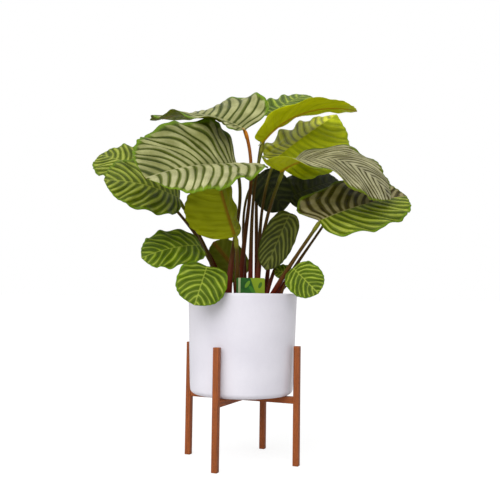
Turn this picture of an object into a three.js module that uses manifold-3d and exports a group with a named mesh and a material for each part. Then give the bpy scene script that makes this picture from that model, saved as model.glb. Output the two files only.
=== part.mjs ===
// Potted calathea orbifolia on a four-legged wooden stand.
// Millimetres, +Z up. The origin is on the floor under the middle of the pot, and the front is -Y.

import * as THREE from "three";
import { mergeVertices } from "three/addons/utils/BufferGeometryUtils.js";
import Module from "manifold-3d";

const wasm = await Module();
wasm.setup();

// Driving dimensions of the stand
const LEG_HEIGHT = 300;
const LEG_WIDTH = 15;
const LEG_RADIUS = 153; // from the stand's axis to the middle of a leg
const FRONT_LEG_ANGLE = -113; // degrees from +X, of the leg at the front left
const BAR_TOP = 172;
const BAR_HEIGHT = 17;
const EDGE_ROUND = 1.2;
const TENON_LENGTH = 8;
const TENON_WIDTH = 8;
const TENON_HEIGHT = 11;

// Driving dimensions of the pot and what it holds
const GAP = 0.3; // clearance between pieces that touch
const POT_RIM = 433;
const RIM_RADIUS = 143;
const FOOT_RADIUS = 134; // of the outer wall, carried down to the pot's underside
const FOOT_ROUND = 14;
const POT_WALL = 7;
const POT_FLOOR = 9;
const SOIL_TOP = 408; // where the soil meets the pot
const SOIL_CROWN = 6; // how much higher it lies in the middle
const LABEL_SIZE = [71, 1.2, 92];
const LABEL_PLACE = [20, -104, 425];
const LABEL_TURN = 4; // degrees about Z

// Driving dimensions that all leaves share
const BLADE_THICKNESS = 0.8;
const RIDGE_AT_BASE = 3; // depth of the midrib under the blade
const RIDGE_AT_TIP = 1;
const PETIOLE_DEPTH = 14; // how far a petiole goes down into the soil
const SHEATH_SHARE = 0.6; // of a petiole's length, over which its sheath tapers
const PETIOLE_SIDES = 6;
const SEAT_GAP = 0.6; // from a petiole's end up to its blade
const SEAT_TRIAL = 25; // how far under a blade the search for its petiole's end starts
const SEAT_RINGS = [0, 10, 20, 30]; // distances back from the petiole's end that are tested
const SEAT_RAYS = 24;

/**
 * The leaves. A blade runs from base to tip along a midrib that is an arc of bend degrees.
 * roll turns the upper side about the chord, positive with the left half up, and twist is the
 * change of roll from base to tip. left and right give each half its lift from the midrib and
 * its further curl towards the margin, in degrees; leftTip and rightTip are the same at the tip.
 * lobe is how far the margin reaches behind the base, rightLobe the same for the right half where
 * it differs, and full is how blunt the outline is.
 * wave is the margin's height of wave in blade widths, the number of waves and their phase.
 * foot is where the petiole leaves the soil, radius its half thickness there and under the blade,
 * and lean how early it leans out.
 */
const LEAVES = {
  front_left: {
    base: [-18, -10, 768], tip: [-222, -228, 702], width: 300, roll: -44, bend: 30,
    right: [20, 6], rightTip: [-2, -12], left: [50, -28], leftTip: [24, -28],
    lobe: 0.02, rightLobe: 0.2, full: 0.55, foot: [-38, -34], radius: [9, 4.5],
  },
  top_left: {
    base: [0, 15, 872], tip: [-240, 200, 946], width: 260, roll: -20, twist: 40, bend: 40,
    right: [22, 0], rightTip: [0, 0], left: [40, 0], leftTip: [-22, 0],
    lobe: 0.16, foot: [-8, 26], radius: [8, 4.5],
  },
  top_back: {
    base: [63, 100, 932], tip: [172, 170, 1013], width: 150, roll: 20, bend: 20,
    foot: [36, 78], radius: [7, 4],
  },
  top_right: {
    base: [45, -14, 830], tip: [294, 20, 930], width: 160, roll: -8, bend: 66,
    right: [22, 0], rightTip: [-10, 0], left: [12, 0],
    rightLobe: 0.14, full: 0.65, foot: [18, -8], radius: [7, 4],
  },
  right_upright: {
    base: [80, 50, 798], tip: [254, 120, 941], width: 256, roll: 45, bend: 10,
    right: [-20, 0], left: [-28, 0], foot: [38, 24], radius: [7, 4],
  },
  right_drooping: {
    base: [96, -25, 752], tip: [366, -100, 682], width: 206, roll: 30, bend: 100,
    right: [80, 0], rightTip: [-18, 0], lobe: 0.12, ease: 0.35, foot: [34, -30], radius: [8, 4.5],
  },
  right_low: {
    base: [191, -90, 618], tip: [419, -30, 692], width: 215, roll: 35, bend: 20,
    right: [0, -10], left: [10, 0], lobe: 0.26, rightLobe: 0.08,
    foot: [64, -52], radius: [8, 4.5], lean: 0.4,
  },
  inner_right: {
    base: [121, 105, 700], tip: [264, 150, 760], width: 155, roll: 50, bend: 20,
    foot: [60, 50], radius: [7, 4],
  },
  inner_centre: {
    base: [42, 66, 763], tip: [109, 80, 667], width: 110, roll: 100, bend: 20,
    foot: [4, 52], radius: [6, 3.5],
  },
  front_hanging: {
    base: [-20, -98, 574], tip: [-66, -140, 722], width: 212, roll: 60, bend: 20,
    right: [0, 8], left: [66, 0], rightLobe: -0.03, foot: [-14, -64], radius: [10, 5],
  },
  left: {
    base: [-169, -20, 680], tip: [-350, -90, 715], width: 225, roll: -35, bend: 30,
    right: [10, 0], left: [-5, -10], foot: [-62, 8], radius: [8, 4],
  },
  far_left: {
    base: [-264, 90, 755], tip: [-415, 150, 824], width: 175, roll: -42, bend: 30,
    foot: [-48, 58], radius: [8, 4],
  },
  low_left: {
    base: [-110, -40, 556], tip: [-252, -90, 520], width: 155, roll: -40, bend: 30,
    foot: [-56, -18], radius: [5, 3], small: true,
  },
  over_rim: {
    base: [-88, -130, 498], tip: [-113, -170, 405], width: 126, roll: -35, bend: 20,
    lobe: 0.12, foot: [-58, -72], radius: [4, 2.5], small: true,
  },
  behind_stems: {
    base: [-4, 72, 477], tip: [-82, 78, 570], width: 100, roll: 90, bend: 10,
    foot: [12, 98], radius: [5, 3], small: true,
  },
  hanging_right: {
    base: [122, -10, 646], tip: [59, -60, 498], width: 86, roll: -50, bend: 20,
    foot: [58, -4], radius: [6, 3.5], lean: 0.3, small: true,
  },
  small_right: {
    base: [127, -80, 498], tip: [186, -120, 436], width: 95, roll: 60, bend: 20,
    foot: [92, -60], radius: [3.5, 2.5], lean: 0.3, small: true,
  },
  smallest: {
    base: [125, -34, 487], tip: [83, -22, 492], width: 45, roll: -60, bend: 20,
    foot: [86, -8], radius: [3, 2], small: true,
  },
  back_right: {
    base: [252, 100, 681], tip: [395, 245, 745], width: 190, roll: 12, bend: 30,
    foot: [80, 24], radius: [6, 3.5], lean: 0.4,
  },
  back_left: {
    base: [-104, 138, 752], tip: [-214, 246, 829], width: 170, roll: -10, bend: 30,
    foot: [-18, 100], radius: [7, 4],
  },
};
const LEAF_DEFAULTS = {
  twist: 0, left: [0, 0], right: [0, 0], lobe: 0.05, full: 0.8, ease: 1, lean: 0.12,
  wave: [0.03, 5, 0], small: false,
};

const FINISHES = {
  blade: new THREE.MeshStandardMaterial({ color: 0x6f9a4c, roughness: 0.45, metalness: 0 }),
  petiole: new THREE.MeshStandardMaterial({ color: 0x6b3a26, roughness: 0.5, metalness: 0 }),
  soil: new THREE.MeshStandardMaterial({ color: 0x2e221a, roughness: 1, metalness: 0 }),
  glaze: new THREE.MeshStandardMaterial({ color: 0xe9e9ee, roughness: 0.35, metalness: 0 }),
  wood: new THREE.MeshStandardMaterial({ color: 0xa55a32, roughness: 0.55, metalness: 0 }),
  card: new THREE.MeshStandardMaterial({ color: 0x3f8f2c, roughness: 0.4, metalness: 0 }),
};

const toRad = THREE.MathUtils.degToRad;
const vector = (list) => new THREE.Vector3(...list);

/** A closed mesh with merged vertices, as a solid that can be joined and cut. */
function solidOf(geometry) {
  const plain = geometry.clone();
  plain.deleteAttribute("normal");
  plain.deleteAttribute("uv");
  const merged = mergeVertices(plain, 1e-4);
  return new wasm.Manifold(
    new wasm.Mesh({
      numProp: 3,
      vertProperties: merged.attributes.position.array,
      triVerts: Uint32Array.from(merged.index.array),
    }),
  );
}

/** The geometry of a solid that was joined or cut. */
function geometryOf(solid) {
  const mesh = solid.getMesh();
  return indexedGeometry(mesh.vertProperties, mesh.triVerts);
}

function indexedGeometry(positions, indices) {
  const geometry = new THREE.BufferGeometry();
  geometry.setAttribute("position", new THREE.Float32BufferAttribute(positions, 3));
  geometry.setIndex(Array.from(indices));
  geometry.computeVertexNormals();
  return geometry;
}

function boxSolid(size, centre) {
  const geometry = new THREE.BoxGeometry(...size);
  geometry.translate(...centre);
  return solidOf(geometry);
}

/** Turns a profile of [radius, z] points about the Z axis. */
function turned(profile, segments) {
  const points = profile.map(([radius, z]) => new THREE.Vector2(radius, z));
  return new THREE.LatheGeometry(points, segments).rotateX(Math.PI / 2);
}

/** Points of a quarter circle or less, for a profile. */
function arc(centre, radius, from, to, steps) {
  const points = [];
  for (let i = 0; i <= steps; i += 1) {
    const angle = toRad(from + ((to - from) * i) / steps);
    points.push([centre[0] + radius * Math.cos(angle), centre[1] + radius * Math.sin(angle)]);
  }
  return points;
}

/** One leaf: the surface of its blade and the line of its petiole, from the sizes in LEAVES. */
class Leaf {
  constructor(sizes) {
    Object.assign(this, LEAF_DEFAULTS, sizes);
    this.start = vector(this.base);
    const along = vector(this.tip).sub(this.start);
    this.chord = along.length();
    this.forward = along.normalize();
    const level = new THREE.Vector3(0, 0, 1).cross(this.forward).normalize();
    const upper = this.forward.clone().cross(level);
    const roll = toRad(this.roll);
    this.side = level.clone().multiplyScalar(Math.cos(roll)).addScaledVector(upper, Math.sin(roll));
    this.up = upper.multiplyScalar(Math.cos(roll)).addScaledVector(level, -Math.sin(roll));
    this.arc = toRad(this.bend);
    this.curve = this.petioleCurve();
  }

  /** The midrib's point at a share of its length, with the side and up directions there. */
  midrib(share) {
    const half = Math.sin(this.arc / 2);
    const angle = this.arc * (0.5 - share);
    const ahead = (this.chord * (half - Math.sin(angle))) / (2 * half);
    const rise = (this.chord * (Math.cos(angle) - Math.cos(this.arc / 2))) / (2 * half);
    const point = this.start.clone().addScaledVector(this.forward, ahead).addScaledVector(this.up, rise);
    const up = this.up.clone().multiplyScalar(Math.cos(angle)).addScaledVector(this.forward, -Math.sin(angle));
    const twist = toRad(this.twist) * (share - 0.5);
    const side = this.side.clone().multiplyScalar(Math.cos(twist)).addScaledVector(up, Math.sin(twist));
    up.multiplyScalar(Math.cos(twist)).addScaledVector(this.side, -Math.sin(twist));
    return { point, side, up };
  }

  /** The blade's point at u, 0 to 1 from base to tip along the margin, and v, -1 to 1 across. */
  surface(u, v) {
    const across = Math.abs(v);
    const point = 0.03 * u ** 24;
    const vein = u ** 1.4;
    const lobe = v < 0 ? (this.rightLobe ?? this.lobe) : this.lobe;
    const marginAlong =
      (1 - Math.cos(Math.PI * u)) / 2 - lobe * Math.sin(Math.PI * Math.min(u * 1.6, 1)) + point;
    const along = vein + point + (marginAlong - vein - point) * across ** 1.5;
    const out = Math.sin(Math.PI * Math.min(u, 1)) ** this.full * across;
    const hand = v < 0 ? -1 : 1;
    const [atBase, atTip] = v < 0 ? [this.right, this.rightTip] : [this.left, this.leftTip];
    const blend = Math.max(0, Math.min(1, along)) ** this.ease;
    const ends = [0, 1].map((i) => toRad(atBase[i] + ((atTip ?? atBase)[i] - atBase[i]) * blend));
    const lift = ends[0];
    const curl = Math.abs(ends[1]) < 1e-3 ? 1e-3 : ends[1];
    const slope = lift + curl * out;
    const sideways = (((Math.sin(slope) - Math.sin(lift)) / curl) * this.width) / 2;
    const upwards = (((Math.cos(lift) - Math.cos(slope)) / curl) * this.width) / 2;
    const [height, waves, phase] = this.wave;
    const turn = 2 * Math.PI * waves * vein + phase + (v > 0 ? 1.3 : 0);
    const ripple = height * this.width * out ** 2 * Math.sin(turn);
    const rib = this.midrib(along);
    return rib.point
      .addScaledVector(rib.side, hand * (sideways - ripple * Math.sin(slope)))
      .addScaledVector(rib.up, upwards + ripple * Math.cos(slope));
  }

  /** The upper side's normal, by small steps over the surface. */
  normal(u, v) {
    const step = 0.01;
    const alongU = this.surface(Math.min(u + step, 0.995), v).sub(this.surface(Math.max(u - step, 0.005), v));
    const alongV = this.surface(u, Math.min(v + step, 1)).sub(this.surface(u, Math.max(v - step, -1)));
    return alongU.cross(alongV).normalize();
  }

  /** How far under the base the petiole ends, found by rays from its last stretch up to the blade. */
  seatDepth(up, arrival) {
    const blade = new THREE.Mesh(bladeGeometry(this), new THREE.MeshBasicMaterial({ side: THREE.DoubleSide }));
    const end = this.start.clone().addScaledVector(up, -SEAT_TRIAL);
    const across = new THREE.Vector3(1, 0, 0).addScaledVector(arrival, -arrival.x).normalize();
    const starts = [end];
    for (const back of SEAT_RINGS) {
      for (let k = 0; k < SEAT_RAYS; k += 1) {
        const outward = across.clone().applyAxisAngle(arrival, (2 * Math.PI * k) / SEAT_RAYS);
        const start = end.clone().addScaledVector(arrival, -back);
        starts.push(start.clone().addScaledVector(outward, this.radius[1] / 2));
        starts.push(start.addScaledVector(outward, this.radius[1]));
      }
    }
    const hits = starts.flatMap((start) => new THREE.Raycaster(start, up).intersectObject(blade));
    return SEAT_TRIAL + SEAT_GAP - Math.min(...hits.map((hit) => hit.distance));
  }

  /** The curve from the soil to the petiole's end under the blade. */
  petioleCurve() {
    const rib = this.midrib(0);
    const tangent = rib.side.clone().cross(rib.up);
    const foot = vector([...this.foot, SOIL_TOP]);
    const reach = this.start.clone().sub(foot);
    const arrival = new THREE.Vector3(reach.x / 600, reach.y / 600, 0.8);
    arrival.addScaledVector(tangent, 0.5).normalize();
    const end = this.start.clone().addScaledVector(rib.up, -this.seatDepth(rib.up, arrival));
    const lower = foot.clone().add(new THREE.Vector3(reach.x * this.lean, reach.y * this.lean, reach.z * 0.45));
    const upper = end.clone().addScaledVector(arrival, -0.3 * reach.length());
    return new THREE.CubicBezierCurve3(foot, lower, upper, end);
  }
}

/** The blade as a thin closed body, its two faces split into triangles alike. */
function bladeGeometry(leaf) {
  const rows = leaf.small ? 9 : 14;
  const columns = leaf.small ? 6 : 8;
  const positions = [];
  const indices = [];
  const place = (u, v) => {
    const onRib = v === 0 || u === 0 || u === 1;
    const depth = onRib ? RIDGE_AT_BASE + (RIDGE_AT_TIP - RIDGE_AT_BASE) * u : BLADE_THICKNESS;
    const top = leaf.surface(u, v);
    const under = top.clone().addScaledVector(leaf.normal(Math.min(Math.max(u, 0.02), 0.98), v), -depth);
    positions.push(...top, ...under);
    return positions.length / 6 - 1;
  };
  const grid = [];
  for (let i = 1; i < rows; i += 1) {
    const row = [];
    for (let j = 0; j <= columns; j += 1) {
      row.push(place(i / rows, (2 * j) / columns - 1));
    }
    grid.push(row);
  }
  const base = place(0, 0);
  const tip = place(1, 0);
  const face = (a, b, c) => {
    indices.push(2 * a, 2 * b, 2 * c, 2 * a + 1, 2 * c + 1, 2 * b + 1);
  };
  const edge = (a, b) => {
    indices.push(2 * a, 2 * a + 1, 2 * b, 2 * b, 2 * a + 1, 2 * b + 1);
  };
  for (let j = 0; j < columns; j += 1) {
    face(base, grid[0][j], grid[0][j + 1]);
    face(tip, grid.at(-1)[j + 1], grid.at(-1)[j]);
    for (let i = 0; i + 1 < grid.length; i += 1) {
      face(grid[i][j], grid[i + 1][j], grid[i][j + 1]);
      face(grid[i][j + 1], grid[i + 1][j], grid[i + 1][j + 1]);
    }
  }
  const rightMargin = [base, ...grid.map((row) => row[0]), tip];
  const leftMargin = [tip, ...grid.map((row) => row[columns]).reverse(), base];
  for (const margin of [rightMargin, leftMargin]) {
    for (let i = 0; i + 1 < margin.length; i += 1) {
      edge(margin[i], margin[i + 1]);
    }
  }
  return indexedGeometry(positions, indices);
}

/** The petiole as a round bar that thins from its sheathed foot, or with extra, the hole for it. */
function petioleGeometry(leaf, extra = 0) {
  const { curve } = leaf;
  const steps = leaf.small ? 5 : 7;
  const [footRadius, topRadius] = leaf.radius;
  const centres = curve.getPoints(steps);
  const tangents = centres.map((point, i) => curve.getTangent(i / steps));
  const start = centres[0].clone().addScaledVector(tangents[0], -PETIOLE_DEPTH - extra);
  centres.unshift(start);
  tangents.unshift(tangents[0]);
  const positions = [...centres[0]];
  const indices = [];
  const across = new THREE.Vector3(1, 0, 0);
  centres.forEach((centre, i) => {
    const share = Math.max(0, (i - 1) / steps);
    const radius = topRadius + (footRadius - topRadius) * Math.max(0, 1 - share / SHEATH_SHARE) + extra;
    across.addScaledVector(tangents[i], -across.dot(tangents[i])).normalize();
    const third = tangents[i].clone().cross(across);
    for (let k = 0; k < PETIOLE_SIDES; k += 1) {
      const angle = (2 * Math.PI * k) / PETIOLE_SIDES;
      const point = centre.clone().addScaledVector(across, radius * Math.cos(angle));
      positions.push(...point.addScaledVector(third, radius * Math.sin(angle)));
    }
  });
  positions.push(...centres.at(-1));
  const last = positions.length / 3 - 1;
  for (let k = 0; k < PETIOLE_SIDES; k += 1) {
    const next = (k + 1) % PETIOLE_SIDES;
    indices.push(0, 1 + next, 1 + k);
    indices.push(last, last - PETIOLE_SIDES + k, last - PETIOLE_SIDES + next);
    for (let i = 0; i + 1 < centres.length; i += 1) {
      const a = 1 + i * PETIOLE_SIDES;
      const b = a + PETIOLE_SIDES;
      indices.push(a + k, a + next, b + k, b + k, a + next, b + next);
    }
  }
  return indexedGeometry(positions, indices);
}

/** The outer radius of the pot's wall at a height. */
function potRadius(z) {
  const share = (z - BAR_TOP) / (POT_RIM - BAR_TOP);
  return FOOT_RADIUS + (RIM_RADIUS - FOOT_RADIUS) * share;
}

function potGeometry() {
  const bottom = BAR_TOP + GAP;
  const lip = POT_WALL / 2;
  const floor = bottom + POT_FLOOR;
  const inner = FOOT_ROUND - POT_WALL;
  return turned(
    [
      [0, bottom],
      ...arc([potRadius(bottom) - FOOT_ROUND, bottom + FOOT_ROUND], FOOT_ROUND, -90, 0, 3),
      ...arc([RIM_RADIUS - lip, POT_RIM - lip], lip, 0, 180, 3),
      ...arc([potRadius(floor) - FOOT_ROUND, floor + inner], inner, 0, -90, 2),
      [0, floor],
    ],
    48,
  );
}

/** The potting mix, crowned in the middle, with a hole for each petiole and a slot for the label. */
function soilGeometry(leaves) {
  const floor = BAR_TOP + GAP + POT_FLOOR + GAP;
  const inset = POT_WALL + 2 * GAP;
  const inner = FOOT_ROUND - POT_WALL;
  let soil = solidOf(
    turned(
      [
        [0, floor],
        ...arc([potRadius(floor) - FOOT_ROUND - 2 * GAP, floor + inner], inner, -90, 0, 2),
        [potRadius(SOIL_TOP) - inset, SOIL_TOP],
        [potRadius(SOIL_TOP) * 0.6, SOIL_TOP + SOIL_CROWN * 0.7],
        [0, SOIL_TOP + SOIL_CROWN],
      ],
      40,
    ),
  );
  for (const leaf of leaves) {
    soil = soil.subtract(solidOf(petioleGeometry(leaf, GAP)));
  }
  return geometryOf(soil.subtract(solidOf(labelGeometry(GAP))));
}

function labelGeometry(extra = 0) {
  const size = LABEL_SIZE.map((length) => length + 2 * extra);
  return new THREE.BoxGeometry(...size).rotateZ(toRad(LABEL_TURN)).translate(...LABEL_PLACE);
}

/** A leg at the origin of its corner, with a blind mortise towards -X. */
function legGeometry() {
  const half = LEG_WIDTH / 2;
  const shape = new THREE.Shape();
  shape.moveTo(half - EDGE_ROUND, -half);
  for (const [x, y, start] of [[1, -1, -90], [1, 1, 0], [-1, 1, 90], [-1, -1, 180]]) {
    const centre = half - EDGE_ROUND;
    shape.absarc(x * centre, y * centre, EDGE_ROUND, toRad(start), toRad(start + 90), false);
  }
  shape.closePath();
  const post = new THREE.ExtrudeGeometry(shape, { depth: LEG_HEIGHT, bevelEnabled: false, curveSegments: 2 });
  const mortise = boxSolid(
    [TENON_LENGTH + GAP + 1, TENON_WIDTH + 2 * GAP, TENON_HEIGHT + 2 * GAP],
    [-half + (TENON_LENGTH + GAP - 1) / 2, 0, BAR_TOP - BAR_HEIGHT / 2],
  );
  return geometryOf(solidOf(post).subtract(mortise));
}

/** A cross bar along X, half-lapped in the middle; the lower one keeps its bottom half there. */
function barGeometry(keepsBottom) {
  const length = 2 * (LEG_RADIUS - LEG_WIDTH / 2 - GAP);
  const middle = BAR_TOP - BAR_HEIGHT / 2;
  const side = keepsBottom ? 1 : -1;
  const notch = [LEG_WIDTH + 2 * GAP, LEG_WIDTH + 2, BAR_HEIGHT / 2 + 1];
  const bar = boxSolid([length, LEG_WIDTH, BAR_HEIGHT], [0, 0, middle])
    .add(boxSolid([length + 2 * TENON_LENGTH, TENON_WIDTH, TENON_HEIGHT], [0, 0, middle]))
    .subtract(boxSolid(notch, [0, 0, middle + side * (notch[2] / 2 - GAP / 2)]));
  return geometryOf(bar);
}

function named(name, geometry, finish) {
  const mesh = new THREE.Mesh(geometry, finish);
  mesh.name = name;
  return mesh;
}

function buildStand() {
  const stand = new THREE.Group();
  const leg = legGeometry();
  ["front_left", "front_right", "back_right", "back_left"].forEach((place, i) => {
    const corner = new THREE.Group();
    const post = named(`leg_${place}`, leg, FINISHES.wood);
    post.position.x = LEG_RADIUS;
    corner.rotation.z = toRad(FRONT_LEG_ANGLE + 90 * i);
    stand.add(corner.add(post));
  });
  [true, false].forEach((keepsBottom, i) => {
    const bar = named(keepsBottom ? "bar_lower" : "bar_upper", barGeometry(keepsBottom), FINISHES.wood);
    bar.rotation.z = toRad(FRONT_LEG_ANGLE + 90 * i);
    stand.add(bar);
  });
  return stand;
}

function buildPlant(leaves) {
  const plant = new THREE.Group();
  for (const [place, leaf] of Object.entries(leaves)) {
    plant.add(named(`blade_${place}`, bladeGeometry(leaf), FINISHES.blade));
    plant.add(named(`petiole_${place}`, petioleGeometry(leaf), FINISHES.petiole));
  }
  return plant;
}

const leaves = Object.fromEntries(Object.entries(LEAVES).map(([place, sizes]) => [place, new Leaf(sizes)]));
const part = new THREE.Group();
part.add(buildStand());
part.add(named("pot", potGeometry(), FINISHES.glaze));
part.add(named("soil", soilGeometry(Object.values(leaves)), FINISHES.soil));
part.add(named("plant_label", labelGeometry(), FINISHES.card));
part.add(buildPlant(leaves));

export default part;
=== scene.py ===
"""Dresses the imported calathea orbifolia: leaves, stalks, mix, pot, stand and label, light and camera.

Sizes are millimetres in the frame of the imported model, colours are screen values from 0 to 255, and
meshes are made in metres.
"""

from __future__ import annotations

import logging
import math
from dataclasses import dataclass, field
from enum import Enum
from typing import Mapping, Sequence

import bmesh
import bpy
import numpy as np
from mathutils import Matrix

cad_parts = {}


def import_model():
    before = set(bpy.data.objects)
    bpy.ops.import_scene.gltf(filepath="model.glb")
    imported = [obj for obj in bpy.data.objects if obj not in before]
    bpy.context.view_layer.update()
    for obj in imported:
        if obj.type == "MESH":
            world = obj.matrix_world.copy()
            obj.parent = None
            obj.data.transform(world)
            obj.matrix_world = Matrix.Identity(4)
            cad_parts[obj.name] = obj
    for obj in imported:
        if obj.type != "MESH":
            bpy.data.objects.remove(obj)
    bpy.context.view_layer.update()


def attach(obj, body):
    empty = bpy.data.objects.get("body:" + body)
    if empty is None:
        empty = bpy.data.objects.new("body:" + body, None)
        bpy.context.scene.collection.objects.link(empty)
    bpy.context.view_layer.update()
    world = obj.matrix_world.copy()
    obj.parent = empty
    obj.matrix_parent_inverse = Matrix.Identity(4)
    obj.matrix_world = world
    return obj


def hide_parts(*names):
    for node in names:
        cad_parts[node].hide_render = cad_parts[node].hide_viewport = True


LOG = logging.getLogger("calathea")
MM = 0.001

Vector3 = tuple[float, float, float]
Pair = tuple[float, float]
Colour = tuple[int, int, int]
Faces = list[tuple[int, ...]]

# Sizes that the pieces share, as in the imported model
SOIL_TOP = 408.0
SOIL_CROWN = 6.0
BAR_TOP = 172.0
POT_RIM = 433.0
RIM_RADIUS = 143.0
FOOT_RADIUS = 134.0
GAP = 0.3

# The form that all leaves share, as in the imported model
MARGIN_WAVE = 0.03  # height of the margin's waves, as a share of the width
MARGIN_WAVES = 5
LEFT_SHIFT = 1.3  # how far the left half's waves run ahead, in radians
TIP_LENGTH = 0.03  # length of the drawn-out tip, as a share of the midrib
VEIN_CROWDING = 1.4  # power that crowds the side veins towards the base
VEIN_CURVE = 1.5  # power that bends the side veins from the midrib to the margin
LOBE_RATE = 1.6  # the lobe behind the base ends where this times the place on the margin is 1


class Foliage(Enum):
    """How a leaf is marked, by its age and its place. YELLOWISH and SUNLIT have painted light in their
    colours, DARK and SHADED painted shade, and DUSKY and WINE a painted purple-grey sheen over their bands.
    """

    SILVERED = "silvered"
    GREYED = "greyed"
    DUSKY = "dusky"
    WINE = "wine"
    GREEN = "green"
    YOUNG = "young"
    YELLOWISH = "yellowish"
    SUNLIT = "sunlit"
    DARK = "dark"
    SHADED = "shaded"


class Underside(Enum):
    """How the back of a leaf looks. BRIGHT has painted light in its colour, for a back that light shines
    through.
    """

    BRIGHT = "bright"
    OLIVE = "olive"
    DULL = "dull"


@dataclass(frozen=True)
class LeafSizes:
    """One leaf's sizes in millimetres and degrees, and its markings.

    The blade runs from base to tip along a midrib that is an arc of bend degrees. roll turns the
    upper side about the chord and twist changes it from base to tip. left and right give each half
    its lift from the midrib and its further curl, left_tip and right_tip the same at the tip, and
    ease how soon the halves change over. lobe is how far the margin reaches behind the base,
    right_lobe the same for the right half where it differs, and full how pointed the outline is. foot
    is where the stalk leaves the soil, radius its half thickness there and under the blade, and lean
    how early it leans out. bands are counted along the midrib, pleat is how strong their folds are
    and sweep how far forward they run by the margin, as a share of the blade. warm_top marks a stalk
    that turns orange under its blade.
    """

    base: Vector3
    tip: Vector3
    width: float
    roll: float
    foot: Pair
    radius: Pair
    bend: float = 20.0
    twist: float = 0.0
    left: Pair = (0, 0)
    left_tip: Pair | None = None
    right: Pair = (0, 0)
    right_tip: Pair | None = None
    lobe: float = 0.05
    right_lobe: float | None = None
    full: float = 0.8
    ease: float = 1.0
    lean: float = 0.12
    foliage: Foliage = Foliage.GREEN
    right_foliage: Foliage | None = None
    underside: Underside = Underside.DULL
    bands: float = 9.0
    pleat: float = 1.0
    sweep: float = 0.12
    warm_top: bool = False


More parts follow.
